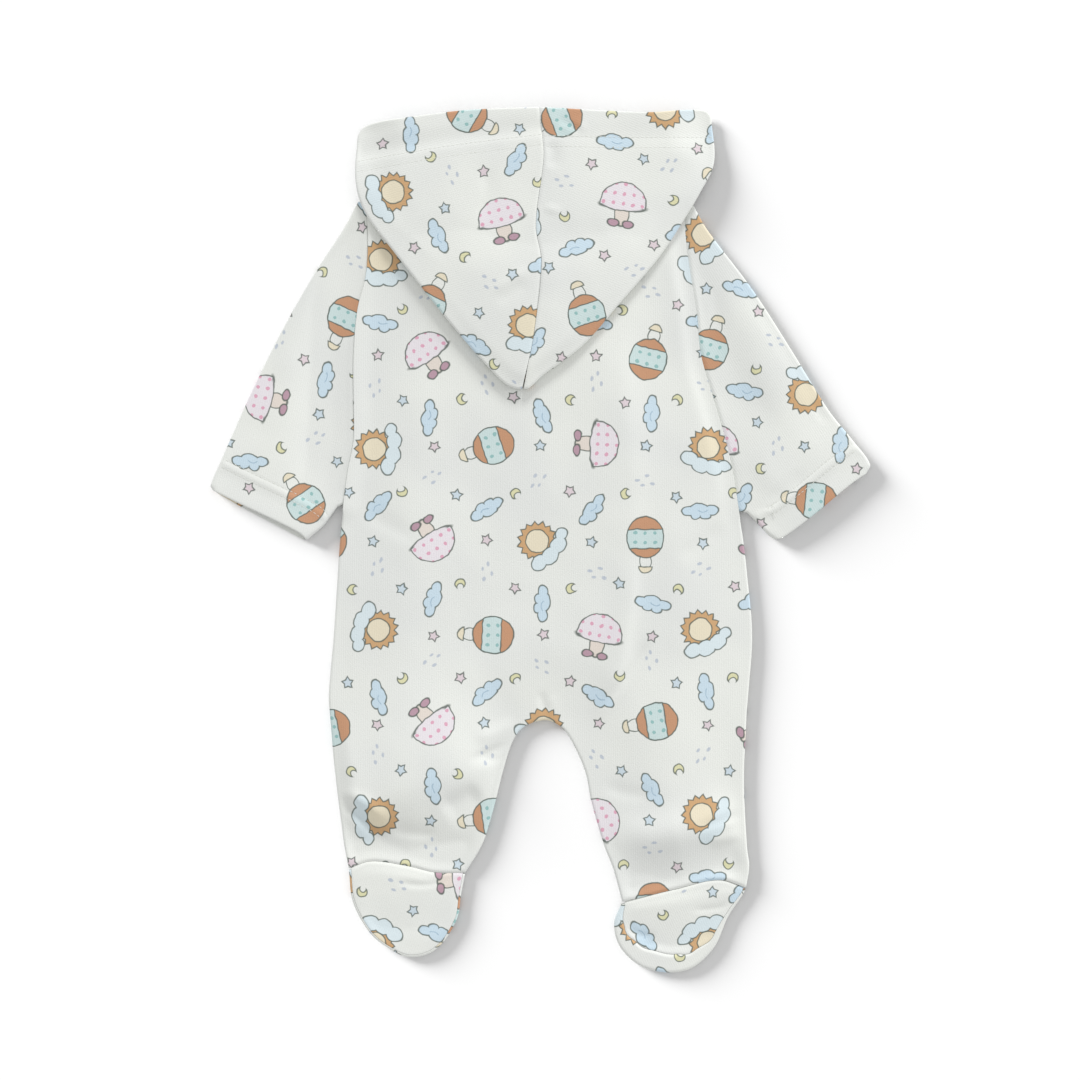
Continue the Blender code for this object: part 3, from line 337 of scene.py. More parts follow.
HELD = 1.3                      # near() with this start is whole for 0.3 of its reach
CREASE_STEP = 4.0
CREASE_ENDS = 3.2               # a crease fades over its length divided by this, at each end
TILTS = (0, 30, 55, 75, 90)     # degrees through which the side edges turn under
ROW_ROOM = 0.85                 # share of its depth that a row keeps from the outline
GUIDE_ROOM = 0.4                # mm that a guide keeps from it
LATTICE_ROOM = 0.6              # share of a step that other points keep from rows and guides
SEAM_GUIDES = (-1.4, -0.6, 0.0, 0.6, 1.4)
BACK_EDGE_ROWS = (0.25, 0.7, 1.3, 2.1, 3.2)

# Each crease has its spots, its width and height in mm, and a share that it is wider on its left
Crease = namedtuple("Crease", "spots width height skew", defaults=(0.0,))

# The body's edges run counterclockwise, seen from above
NECK = [(46, 238), (-1, 228), (-49, 239)]
LEFT_ARMHOLE = [(-118.7, 230), (-117, 204), (-118.3, 180.2), (-124.1, 156.4),
                (-126.8, 125.8), (-126.8, 95.2), (-126.8, 68), (-130.9, 46.2), (-133.8, 24)]
LEFT_FLANK = [(-133.8, 24), (-134.2, 19.5), (-136.1, 0), (-137.7, -23.8), (-140.4, -64.6),
              (-143.8, -105.4), (-143.1, -117), (-142.1, -129.2), (-140.4, -149.6),
              (-137.7, -173.4), (-135.3, -191.8), (-133.3, -207.4), (-130.2, -223)]
LEFT_HEEL = [(-130.2, -223), (-115, -218), (-89, -221.5), (-72, -225.5), (-51, -225.8)]
INNER_LEGS = [(-51, -225.8), (-39.8, -207.4), (-34, -190.4), (-30.3, -176.8), (-25.2, -156.4),
              (-18.7, -136.7), (-11.5, -127.2), (3, -122.4), (13.3, -126.5), (20.4, -135.3),
              (30.3, -157.1), (34.3, -176.8), (43.2, -207.4), (49.3, -223), (55.4, -245.5)]
RIGHT_HEEL = [(55.4, -245.5), (68, -242.5), (91, -237), (121, -230.5), (139.7, -236)]
RIGHT_FLANK = [(139.7, -236), (141.8, -221.7), (140.4, -209.4), (138.4, -173.4),
               (138.4, -153), (139.4, -132.6), (140.1, -117), (141.1, -105.4), (143.8, -64.6),
               (140.4, -23.8), (137.7, 0), (134.6, 19.5)]
RIGHT_ARMHOLE = [(134.6, 19.5), (134, 24), (130.6, 46.2), (125.5, 68), (117.6, 95.2),
                 (108.8, 125.8), (105.7, 156.4), (101.7, 180.2), (98.6, 204), (97.2, 228)]
CROTCH = (3.0, -122.4)
INNER_LEG_SEAM = [(-22.5, -138.5), (-29, -156), (-34.2, -175), (-38.8, -191), (-43.5, -206)]

BACK_CREASES = [
    # the long fold down the right of the body, steep on its outer side, and its branch
    ([(50, 160), (53, 100), (59, 50), (58, 10), (56, -46)], 23, 2.1, -0.4),
    ([(61, -6), (61.5, -34), (57.7, -59), (54, -84), (47, -104), (34, -126)], 8, 1.6, -0.35),
    ([(76, -62), (64, -84), (52, -101), (40, -117)], 3, -1.1),
    ([(100, 270), (103, 180), (108, 120), (116, 60), (122, -20)], 24, 2.2),
    ([(86, 40), (90, -20), (86, -90)], 16, 0.5),
    # the tuck at the crotch and the short creases left of it
    ([(-0.5, -102), (1.5, -111), (4, -122)], 2.6, -0.8, 0.3),
    ([(6, -104), (9, -121)], 4.5, 0.4),
    ([(-12, -130), (-22, -138), (-34, -143.5), (-50, -150)], 4, -1.6, 0.4),
    ([(-20, -146), (-31, -148.5), (-40, -149)], 2.4, -0.8, 0.2),
    ([(-14, -124), (-28, -130), (-46, -136)], 5, 1),
    # the seam down the inside of the left leg
    (INNER_LEG_SEAM, 0.8, -0.5),
    ([(x + 1.9, y - 0.6) for x, y in INNER_LEG_SEAM], 1.1, 0.3),
    # the left ankle sinks toward the heel's seam, and folds come in from its side
    ([(-12, -141), (-48, -152), (-84, -163), (-116, -175), (-160, -194)], 34, 5.2, -0.26),
    ([(-40, -168), (-54, -176), (-68, -184)], 9, -1.8, 0.3),
    ([(-185, -212), (-118, -212), (-90, -215.5), (-66, -219), (-10, -227)], 16, -4, 0.35),
    ([(-150, -177), (-136, -180), (-124, -186), (-114, -196), (-104, -208)], 5, -2.6, 0.3),
    ([(-146, -170), (-128, -174), (-112, -184), (-100, -194)], 5, 1.6),
    ([(-104, -196), (-86, -199), (-68, -200)], 4, -0.9, 0.3),
    # the right ankle
    ([(40, -202), (78, -200), (108, -194), (150, -184)], 13, 3),
    ([(30, -242), (68, -236), (96, -230), (120, -224), (160, -214)], 13, -2.8, 0.3),
    ([(104, -196), (122, -191), (142, -184)], 3, -1, 0.3),
    ([(112, -205), (126, -202), (141, -198)], 3.6, 0.9),
    ([(40, -166), (58, -172), (78, -174)], 5, -0.6, 0.2),
    # faint long waves in the body
    ([(-95, 60), (-90, -20), (-98, -90)], 20, 0.7),
    ([(-50, 80), (-45, 0), (-52, -100)], 22, -0.6),
    ([(-122, 20), (-100, 8), (-80, -2)], 6, -0.5, 0.2),
    ([(126, 12), (106, -4), (92, -14)], 6, -0.5, 0.2),
]


def smooth_step(value):
    """0 below 0, 1 above 1 and an even slope between."""
    value = np.clip(value, 0.0, 1.0)
    return value * value * (3.0 - 2.0 * value)


def near(distance, reach, start=1.0):
    """1 on a line, and evenly down to 0 at this reach from it."""
    return smooth_step(start - distance / reach)


def toward(height, other, share):
    """The height, moved a share of the way to another."""
    return height + (other - height) * share


def rounded(depth, reach):
    """Rise from 0 at an edge to 1 at this reach, steep at first as soft thin cloth turns."""
    lean = 1.0 - np.clip(depth / reach, 0.0, 1.0)
    return (1.0 - lean ** 3) ** (1.0 / 3.0)


def lengths_along(line):
    """Each point's distance along the line."""
    return np.concatenate([[0.0], np.cumsum(np.hypot(*np.diff(line, axis=0).T))])


def spaced(line, step):
    """The line cut into equal steps, none longer than step."""
    line = np.asarray(line, dtype=float)
    lengths = lengths_along(line)
    count = max(1, math.ceil(lengths[-1] / step))
    places = np.linspace(0.0, lengths[-1], count + 1)
    return np.column_stack([np.interp(places, lengths, values) for values in line.T])


def curve(spots, step):
    """A smooth curve through the spots, cut into equal steps."""
    spots = np.asarray(spots, dtype=float)
    padded = np.vstack([spots[:1], spots, spots[-1:]])
    dense = [spots[0]]
    for index in range(len(spots) - 1):
        before, start, end, after = padded[index:index + 4]
        span = math.dist(start, end)
        lead = span / max(math.dist(before, end), span)
        trail = span / max(math.dist(start, after), span)
        for share in np.linspace(0.1, 1.0, 10):
            pull_start = (share ** 3 - 2 * share ** 2 + share) * lead
            pull_end = (share ** 3 - share ** 2) * trail
            dense.append(toward(start, end, smooth_step(share))
                         + (end - before) * pull_start + (after - start) * pull_end)
    return spaced(dense, step)


def joined(*lines):
    """Several lines that follow each other as one line."""
    result = [np.asarray(lines[0], dtype=float)]
    for line in lines[1:]:
        line = np.asarray(line, dtype=float)
        if math.dist(result[-1][-1], line[0]) < 0.01:
            line = line[1:]
        result.append(line)
    return np.vstack(result)


def moved(line, distances, closed=False):
    """The line moved to its left by a distance, or by one distance for each point."""
    runs = np.diff(np.vstack([line, line[:1]]) if closed else line, axis=0)
    runs = runs / np.maximum(np.hypot(*runs.T), 1e-9)[:, None]
    before = np.roll(runs, 1, axis=0) if closed else np.vstack([runs[:1], runs])
    after = runs if closed else np.vstack([runs, runs[-1:]])
    side = before + after
    side = side / np.maximum(np.hypot(*side.T), 1e-9)[:, None]
    stretch = np.maximum((side * before).sum(axis=1), 0.5)
    side = np.column_stack([-side[:, 1], side[:, 0]])
    return line + side * (np.asarray(distances) / stretch)[:, None]


def along(points, line):
    """Each point's distance from a line, positive on its left, and its share of the way along."""
    line = np.asarray(line, dtype=float)
    lengths = lengths_along(line)
    nearest = np.full(len(points), np.inf)
    signed = np.zeros(len(points))
    shares = np.zeros(len(points))
    for index, (start, end) in enumerate(zip(line[:-1], line[1:])):
        run = end - start
        reach = run @ run
        if reach < 1e-12:
            continue
        offset = points - start
        share = np.clip(offset @ run / reach, 0.0, 1.0)
        away = np.hypot(*(offset - share[:, None] * run).T)
        closer = away < nearest
        nearest[closer] = away[closer]
        side = np.sign(run[0] * offset[:, 1] - run[1] * offset[:, 0])
        signed[closer] = (away * side)[closer]
        place = lengths[index] + share * math.sqrt(reach)
        shares[closer] = (place / lengths[-1])[closer]
    return signed, shares


def distance_to(points, *lines):
    """Each point's distance from the nearest of several lines."""
    return np.min([np.abs(along(points, line)[0]) for line in lines], axis=0)


def inside(points, outline):
    """Whether each point lies in the outline."""
    result = np.zeros(len(points), dtype=bool)
    x, y = points.T
    for start, end in zip(np.roll(outline, 1, axis=0), outline):
        if start[1] == end[1]:
            continue
        crosses = (end[1] > y) != (start[1] > y)
        share = (y - end[1]) / (start[1] - end[1])
        result ^= crosses & (x < end[0] + share * (start[0] - end[0]))
    return result


def depth_in(points, outline):
    """Each point's distance from the outline, less than 0 outside it."""
    depth = distance_to(points, np.vstack([outline, outline[:1]]))
    return np.where(inside(points, outline), depth, -depth)


def plan_mesh(outline, depths, step, guides=()):
    """Points and triangles that fill an outline, seen from above.

    Rows of points follow the outline at each depth, and guides are further lines to follow.
    """
    x, y = outline.T
    if np.sum(x * np.roll(y, -1) - np.roll(x, -1) * y) < 0.0:
        outline = outline[::-1]
    closed = np.vstack([outline, outline[:1]])
    points = [outline]
    links = [(index, (index + 1) % len(outline)) for index in range(len(outline))]
    count = len(outline)
    rows = [(moved(outline, depth, closed=True), ROW_ROOM * depth, True) for depth in depths]
    rows += [(np.asarray(guide), GUIDE_ROOM, False) for guide in guides]
    for row, clearance, is_ring in rows:
        kept = inside(row, outline) & (distance_to(row, closed) > clearance)
        places = np.full(len(row), -1)
        places[kept] = count + np.arange(kept.sum())
        count += int(kept.sum())
        points.append(row[kept])
        following = np.roll(places, -1)
        if not is_ring:
            following[-1] = -1
        links += [(int(a), int(b)) for a, b in zip(places, following) if a >= 0 and b >= 0]
    points = np.vstack(points)
    tree_of_points = KDTree(len(points))
    for index, point in enumerate(points):
        tree_of_points.insert((*point, 0.0), index)
    tree_of_points.balance()
    low, high = points.min(axis=0), points.max(axis=0)
    rise = step * math.sqrt(0.75)
    rows_y = np.arange(low[1] + rise, high[1], rise)
    columns_x = np.arange(low[0], high[0] + step, step)
    lattice = np.array([(cx + 0.5 * step * (index % 2), cy)
                        for index, cy in enumerate(rows_y) for cx in columns_x])
    lattice = lattice[inside(lattice, outline)]
    edge_room = (depths[-1] if depths else 0.0) + 0.5 * step
    lattice = lattice[distance_to(lattice, closed) > edge_room]
    free = [tree_of_points.find((*point, 0.0))[2] > LATTICE_ROOM * step for point in lattice]
    points = np.vstack([points, lattice[np.array(free, dtype=bool)]])
    flat, _, faces, _, _, _ = delaunay_2d_cdt(
        [Vector(point) for point in points], links, [list(range(len(outline)))], 1, 0.0001)
    return np.array([(point.x, point.y) for point in flat]), [tuple(face) for face in faces]


def creased(points, creases):
    """Rise of the cloth over its creases, which fade toward their ends."""
    rise = np.zeros(len(points))
    for crease in (Crease(*values) for values in creases):
        away, share = along(points, curve(crease.spots, CREASE_STEP))
        width = crease.width * np.where(away > 0.0, 1.0 + crease.skew, 1.0 - crease.skew)
        ends = smooth_step(CREASE_ENDS * np.minimum(share, 1.0 - share))
        rise += crease.height * ends * np.exp(-(away / width) ** 2)
    return rise


def unevenness(points, shift=0.0):
    """The slight waves of cloth smoothed by hand, a few tenths of a millimetre high."""
    x, y = points.T
    rise = 0.16 * np.sin(x / 13.1 + y / 29.0 + shift)
    rise += 0.13 * np.sin(y / 15.3 - x / 31.0 + 2 * shift)
    rise += 0.06 * np.sin((x + y) / 8.1 + shift) * np.sin((x - y) / 17.0)
    return rise + 0.02 * np.sin(x / 3.7 + 3 * shift) * np.sin(y / 4.3 + shift)


def turned_plan(points, degrees=0.0, shift=(0.0, 0.0)):
    """Where plan points lie on the cloth before it was cut, in mm."""
    angle = math.radians(degrees)
    x, y = points.T
    return np.column_stack([x * math.cos(angle) - y * math.sin(angle) + shift[0],
                            x * math.sin(angle) + y * math.cos(angle) + shift[1]])


def mirrored(points, start, end):
    """Where points come to lie when the cloth is turned over along a fold."""
    run = np.subtract(end, start) / math.dist(start, end)
    normal = np.array([-run[1], run[0]])
    return points - 2.0 * ((points - np.array(start)) @ normal)[:, None] * normal


def resting(points):
    """Height of cloth that lies on the surface."""
    return np.full(len(points), CLEARANCE)


class Surface:
    """A piece's outer face as it grows: points, faces and each face's place on the cloth."""

    def __init__(self):
        self.points = []
        self.faces = []
        self.cloth = []
        self.count = 0

    def grow(self, points, faces, cloth):
        """Add points and faces."""
        for face in faces:
            self.faces.append([index + self.count for index in face])
            self.cloth.extend(cloth[index] for index in face)
        self.points.append(points)
        self.count += len(points)

    def layer(self, plan, height_at, turn=0.0, shift=(0.0, 0.0), fold=None):
        """Add a filled plan at its heights, or face down if it is turned over along a fold."""
        flat, faces = plan
        if fold:
            faces = [face[::-1] for face in faces]
        cloth = turned_plan(mirrored(flat, *fold) if fold else flat, turn, shift)
        self.grow(np.column_stack([flat, height_at(flat)]), faces, cloth)

    def loft(self, rows, cloth_rows):
        """Add quads between rows of points."""
        width = len(rows[0])
        starts = [row * width + column
                  for row in range(len(rows) - 1) for column in range(width - 1)]
        faces = [(a + width, a + width + 1, a + 1, a) for a in starts]
        self.grow(np.vstack(rows), faces, np.vstack(cloth_rows))

    def cut(self, node, thicker=None):
        """Make it cloth that stands for a node, thicker by some mm where a hem is turned."""
        name = node + "_cloth"
        mesh = bpy.data.meshes.new(name)
        mesh.from_pydata(np.vstack(self.points) * 0.001, [], self.faces)
        layer = mesh.uv_layers.new(name="cloth")
        layer.data.foreach_set("uv", (np.array(self.cloth) * 0.001).ravel())
        bm = bmesh.new()
        bm.from_mesh(mesh)
        bmesh.ops.remove_doubles(bm, verts=bm.verts, dist=0.00001)
        bm.to_mesh(mesh)
        bm.free()
        mesh.shade_smooth()
        mesh.materials.append(knit)
        piece = bpy.data.objects.new(name, mesh)
        bpy.context.scene.collection.objects.link(piece)
        shell = piece.modifiers.new("cloth", "SOLIDIFY")
        shell.offset = -1.0
        shell.thickness = CLOTH * 0.001
        if thicker:
            layers = CLOTH + thicker(np.array([vert.co[:2] for vert in mesh.vertices]) * 1000)
            shell.thickness = layers.max() * 0.001
            group = piece.vertex_groups.new(name="layers")
            for index, share in enumerate(layers / layers.max()):
                group.add([index], float(share), "REPLACE")
            shell.vertex_group = group.name
        made = piece.evaluated_get(bpy.context.evaluated_depsgraph_get())
        piece.data = bpy.data.meshes.new_from_object(made)
        piece.data.name = name
        piece.modifiers.clear()
        for vert in piece.data.vertices:
            vert.co.z = max(vert.co.z, 0.0)
        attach(piece, "root")
        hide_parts(node)
        return piece


neck_line = curve(NECK, EDGE_STEP)
left_shoulder = spaced([NECK[-1], LEFT_ARMHOLE[0]], EDGE_STEP)
left_armhole = curve(LEFT_ARMHOLE, EDGE_STEP)
left_heel = curve(LEFT_HEEL, EDGE_STEP)
inner_legs = curve(INNER_LEGS, EDGE_STEP)
right_heel = curve(RIGHT_HEEL, EDGE_STEP)
right_armhole = curve(RIGHT_ARMHOLE, EDGE_STEP)
right_shoulder = spaced([RIGHT_ARMHOLE[-1], NECK[0]], EDGE_STEP)
left_edge = joined(left_shoulder, left_armhole, curve(LEFT_FLANK, EDGE_STEP))
right_edge = joined(curve(RIGHT_FLANK, EDGE_STEP), right_armhole, right_shoulder)
back_rolled = [left_edge, inner_legs, right_edge]
back_outline = joined(neck_line, left_edge, left_heel, inner_legs, right_heel, right_edge)[:-1]


def back_edge(points):
    """Height of the middle of the back's edge, more where a sleeve is sewn to it."""
    edge = np.full(len(points), BACK_EDGE)
    for armhole, height in ((left_armhole, LEFT_ARMHOLE_EDGE), (right_armhole, RIGHT_ARMHOLE_EDGE)):
        edge += (height - BACK_EDGE) * near(distance_to(points, armhole), ARMHOLE_EDGE_REACH, HELD)
    return edge


def back_crown(points):
    """How far the back rises toward its middle."""
    return BACK_CROWN * smooth_step(distance_to(points, neck_line, *back_rolled) / BACK_CROWN_REACH)


def back_height(points):
    """Height of the back's face."""
    depth = distance_to(points, *back_rolled)
    to_armhole = distance_to(points, left_armhole, right_armhole)
    to_heel = distance_to(points, left_heel, right_heel)
    edge = back_edge(points)
    folds = creased(points, BACK_CREASES) + unevenness(points)
    folds *= smooth_step(distance_to(points, neck_line, *back_rolled) / FOLD_FADE)
    face = BACK_HEIGHT + np.maximum(back_crown(points) + folds, -DEEPEST_FOLD)
    armhole_height = np.where(points[:, 0] < 0.0, LEFT_ARMHOLE_EDGE, RIGHT_ARMHOLE_EDGE)
    face = toward(face, armhole_height, near(to_armhole, ARMHOLE_REACH))
    heel_height = np.where(points[:, 0] < CROTCH[0], LEFT_HEEL_HEIGHT, RIGHT_HEEL_HEIGHT)
    face = toward(face, heel_height, near(to_heel, HEEL_REACH))
    dip = SEAM_DIP * near(to_heel, SEAM_REACH) * smooth_step(depth / SEAM_REACH)
    return toward(edge, face, rounded(depth, BACK_ROLL)) - dip


back_surface = Surface()
seam_line = curve(INNER_LEG_SEAM, EDGE_STEP)
seam_guides = [moved(seam_line, step) for step in SEAM_GUIDES]
back_plan = plan_mesh(back_outline, BACK_EDGE_ROWS, BODY_STEP, seam_guides)
back_surface.layer(back_plan, back_height)
for line in back_rolled:
    rows = []
    cloth_rows = []
    for degrees in TILTS:
        tilt = math.radians(degrees)
        under = moved(line, UNDER_TURN * (1.0 - math.cos(tilt)))
        height = back_edge(line) * (1.0 - math.sin(tilt)) + (CLEARANCE if degrees else 0.0)
        rows.append(np.column_stack([under, height]))
        cloth_rows.append(moved(line, -BACK_EDGE * math.sin(tilt)))
    back_surface.loft(rows, cloth_rows)
back = back_surface.cut("back")

# ---------------------------------------
# The two fronts: flat panels under the back, which carry the whole suit. They meet
# at the middle of the body and are seen only from below.
FRONT_INSET = 2.9               # mm that they lie in from the back's edge
FRONT_NECK_DROP = 14.0
FRONT_STEP = 7.0
FRONT_GAP = 0.3
FRONT_ON_CLOTH = (37.0, 21.0)   # mm, where the piece is cut from the cloth
MIDDLE_LINE = ((0, 0), (0, 1))

crotch_place = int(np.argmin(np.hypot(*(inner_legs - np.array(CROTCH)).T)))
for name, side, leg_edge, shoulder_edge in (
    ("front_left", -1, inner_legs[:crotch_place + 1], left_edge),
    ("front_right", 1, inner_legs[crotch_place:], right_edge),
):
    outer = moved(shoulder_edge, FRONT_INSET)[::-side]
    inner = moved(leg_edge, FRONT_INSET)[::-side]
    neck_corner = (NECK[1][0] + side * FRONT_GAP / 2, NECK[1][1] - FRONT_NECK_DROP)
    crotch_corner = (inner[-1][0] + side * FRONT_GAP / 2, inner[-1][1])
    outline = np.vstack([neck_corner, outer[1:], inner[:-1], crotch_corner])
    surface = Surface()
    surface.layer(plan_mesh(outline, (1.0,), FRONT_STEP), resting, 0.0, FRONT_ON_CLOTH,
                  MIDDLE_LINE)
    front = surface.cut(name)

# ---------------------------------------
# The sleeves: each one piece of cloth sewn into a tube and laid flat, so that two
# layers lie on each other. The cuff is a turned hem held by two rows of stitches.
SLEEVE_STEP = 2.3
UNDER_SLEEVE_STEP = 5.75
EDGE_ROWS = (0.2, 0.7, 1.4, 2.4, 3.8)  # mm from a folded edge to rows of the mesh's points
FOLD_ROLL = 0.75                # how far in a fold's roundness reaches, to half its height
SLEEVE_HEIGHT = 5.0             # mm, the height of the folded edges
CUFF_HEIGHT = 6.2               # and at the cuff
CUFF_REACH = 40.0
CUFF_FLATTER = 0.5              # share of the crown, and of the waves, that the cuff loses
CUFF_CALMER = 0.6
CUFF_CALM_REACH = 20.0
CUFF_HEM = 22.5                 # mm, how deep the hem is, and the slope at its end
HEM_STEP = 1.6
CUFF_ROWS = (17.0, 22.5)        # mm from the cuff's edge to its two rows of stitches
ROW_SIDES = (-1.6, -0.8, 0.0, 0.8, 1.6)
ROW_DIP = 0.1                   # mm that a row of stitches pulls the cloth in
ROW_WIDTH = 0.7
RIDGE_WIDTHS = (2.2, 3.6)       # mm, of the ridge between the rows, inward and to the edge
STITCH_LIFT = 0.12              # mm that the thread lies over the cloth
STITCH_ROOM = 2.0               # mm from a fold to the first stitch
HEM_CLOTH = 0.9                 # mm that a turned hem is thicker
HEM_RISE = 0.35
HEM_HOLLOW = 0.6
HEM_HOLLOW_REACH = 14.0
HEM_FADE = 4.0                  # mm from a fold to where the hem's shape is whole
ROW_FADE = 3.0
HEM_EDGE_ROLL = 0.9
HEM_EDGE_DROP = 0.5
SLEEVE_CROWN = 2.0
SLEEVE_CROWN_REACH = 32.0
CROWN_REACH_FROM_SEAM = 26.0
WAVE_REACH_FROM_SEAM = 6.0
SEWN_REACH = 16.0               # mm from the armhole to where the edges have their height
SLEEVE_SINK = 0.5
SLEEVE_GAP = 0.1
SLEEVE_ON_CLOTH = (16.0, 9.0)

LEFT_SLEEVE = [(-123.8, 229.5), (-134, 211), (-154, 180.2), (-177, 139.4),
               (-197, 98.6), (-215.2, 57.8), (-224, 37)]
LEFT_CUFF = [(-222.5, 33.8), (-205, 23.5), (-176, 8.3), (-162, 0.8)]
LEFT_CUFF_UPPER = [(-222.5, 33.8), (-207, 26), (-175, 10.8), (-162.5, 4)]
LEFT_UNDERARM = [(-158.8, 0), (-148, 9), (-141, 18), (-137.5, 22.5)]
RIGHT_SLEEVE = [(104, 227), (113.2, 210.8), (144, 170), (170.3, 129.2),
                (195.5, 88.4), (213, 66.5), (223.8, 51.5)]
RIGHT_CUFF = [(221.5, 45.5), (209, 36.7), (184.5, 16.5), (163.5, 1.2)]
RIGHT_UNDERARM = [(158.5, 0.5), (154.7, 3.4), (146.3, 12.2), (140, 18.5)]

LEFT_SLEEVE_CREASES = [
    # the sleeve sinks beside the body, and long soft waves run down it
    ([(-130, 240), (-142, 178), (-148, 120), (-150, 70), (-155, 0)], 16, -3.4, 0.1),
    ([(-146, 208), (-166, 158), (-186, 110), (-206, 60)], 14, 1.2, 0.3),
    ([(-178, 124), (-188, 92), (-200, 60)], 9, -0.6),
    ([(-150, 60), (-158, 42), (-170, 28)], 7, -0.7, 0.2),
]
RIGHT_SLEEVE_CREASES = [
    # the sleeve is fullest along its outer side and sinks beside the body
    ([(108, 206), (134, 162), (160, 118), (190, 70)], 17, 1.1),
    ([(106, 206), (122, 150), (140, 96), (156, 46)], 14, -1.9),
    ([(182, 96), (188, 88), (195, 78)], 2.6, -0.8, 0.2),
    ([(152, 24), (166, 34), (182, 48)], 5, -0.5),
]


def fold_profile(depth, half_height):
    """Height over or under a fold's middle at this depth from its edge."""
    return np.where(depth < 0.01, 0.0, half_height * rounded(depth, FOLD_ROLL * half_height))


def stitch_row(line, outline, folds, height_at, lift):
    """Mark a row of stitches on the part of a line that lies clear of the folds."""
    line = line[inside(line, outline) & (distance_to(line, *folds) > STITCH_ROOM)]
    stitch_lines.append(np.column_stack([line, height_at(line) + lift]))


stitch_lines = []
lower_outlines = [back_outline]
for (name, side, armhole, outer_spots, cuffs, underarm_spots, creases, cloth_turn, sewn_height,
     ridge_height) in (
    ("sleeve_left", -1, left_armhole, LEFT_SLEEVE, (LEFT_CUFF_UPPER, LEFT_CUFF), LEFT_UNDERARM,
     LEFT_SLEEVE_CREASES, 12.0, 6.1, 0.5),
    ("sleeve_right", 1, right_armhole[::-1], RIGHT_SLEEVE, (RIGHT_CUFF, RIGHT_CUFF),
     RIGHT_UNDERARM, RIGHT_SLEEVE_CREASES, -32.0, 5.1, 0.9),
):
    seam = moved(armhole, side * SLEEVE_GAP)
    outer_edge = joined(spaced([seam[0], outer_spots[0]], EDGE_STEP),
                        curve(outer_spots + [cuffs[0][0]], EDGE_STEP))
    underarm_edge = joined(
        curve(underarm_spots, EDGE_STEP), spaced([underarm_spots[-1], seam[-1]], EDGE_STEP))
    folds = [outer_edge, underarm_edge]
    cuff_edges = [curve(spots + [underarm_spots[0]], EDGE_STEP) for spots in cuffs]
    upper_outline, lower_outline = [
        joined(outer_edge, cuff, underarm_edge, seam[::-1])[:-1] for cuff in cuff_edges]
    cuff = cuff_edges[0]

    def hem_share(points):
        """1 in the cuff's hem, 0 above it."""
        return smooth_step(0.5 + (CUFF_HEM - distance_to(points, cuff)) / HEM_STEP)

    def fold_half(points):
        """Half the height of the sleeve's folded edges."""
        from_seam = smooth_step(distance_to(points, seam) / SEWN_REACH)
        near_cuff = near(distance_to(points, cuff), CUFF_REACH, HELD)
        return 0.5 * toward(toward(sewn_height, SLEEVE_HEIGHT, from_seam), CUFF_HEIGHT, near_cuff)

    def sleeve_top(points):
        """Height of the sleeve's upper layer."""
        half = fold_half(points)
        depth = distance_to(points, *folds)
        to_cuff = distance_to(points, cuff)
        to_seam = distance_to(points, seam)
        in_hem = hem_share(points)
        crown = SLEEVE_CROWN * smooth_step(depth / SLEEVE_CROWN_REACH)
        crown *= smooth_step(to_seam / CROWN_REACH_FROM_SEAM)
        crown *= 1.0 - CUFF_FLATTER * near(to_cuff, CUFF_REACH, HELD)
        waves = creased(points, creases) + unevenness(points, 1.7)
        waves *= smooth_step(depth / FOLD_FADE) * smooth_step(to_seam / WAVE_REACH_FROM_SEAM)
        waves *= 1.0 - CUFF_CALMER * near(to_cuff, CUFF_CALM_REACH, HELD)
        from_ridge = to_cuff - np.mean(CUFF_ROWS)
        ridge = np.exp(-(from_ridge / np.where(from_ridge > 0.0, *RIDGE_WIDTHS)) ** 2)
        hollow = HEM_HOLLOW * smooth_step(to_cuff / HEM_HOLLOW_REACH)
        hem = (HEM_RISE - hollow) * in_hem + ridge_height * ridge
        rows = sum(np.exp(-((to_cuff - row) / ROW_WIDTH) ** 2) for row in CUFF_ROWS)
        lean = 1.0 - np.clip(to_cuff / HEM_EDGE_ROLL, 0.0, 1.0)
        edge = HEM_EDGE_DROP * (1.0 - np.sqrt(1.0 - lean ** 2))
        hem *= smooth_step(depth / HEM_FADE)
        hem -= (ROW_DIP * rows + edge) * smooth_step(depth / ROW_FADE)
        face = half + fold_profile(depth, half) + np.maximum(crown + waves, -SLEEVE_SINK)
        return face + hem - SEAM_DIP * near(to_seam, SEAM_REACH)

    def sleeve_bottom(points):
        """Height of the sleeve's lower layer."""
        half = fold_half(points)
        return half - fold_profile(distance_to(points, *folds), half) + CLEARANCE

    guides = [moved(cuff, -side * (row + step)) for row in CUFF_ROWS for step in ROW_SIDES]
    surface = Surface()
    surface.layer(plan_mesh(upper_outline, EDGE_ROWS, SLEEVE_STEP, guides), sleeve_top, cloth_turn,
                  SLEEVE_ON_CLOTH)
    surface.layer(plan_mesh(lower_outline, EDGE_ROWS, UNDER_SLEEVE_STEP), sleeve_bottom, cloth_turn,
                  SLEEVE_ON_CLOTH, (outer_spots[0], outer_spots[-1]))
    sleeve = surface.cut(name, lambda points: HEM_CLOTH * hem_share(points))
    for row in CUFF_ROWS:
        stitch_row(moved(cuff, -side * row), upper_outline, folds, sleeve_top, STITCH_LIFT)
    lower_outlines.append(lower_outline)

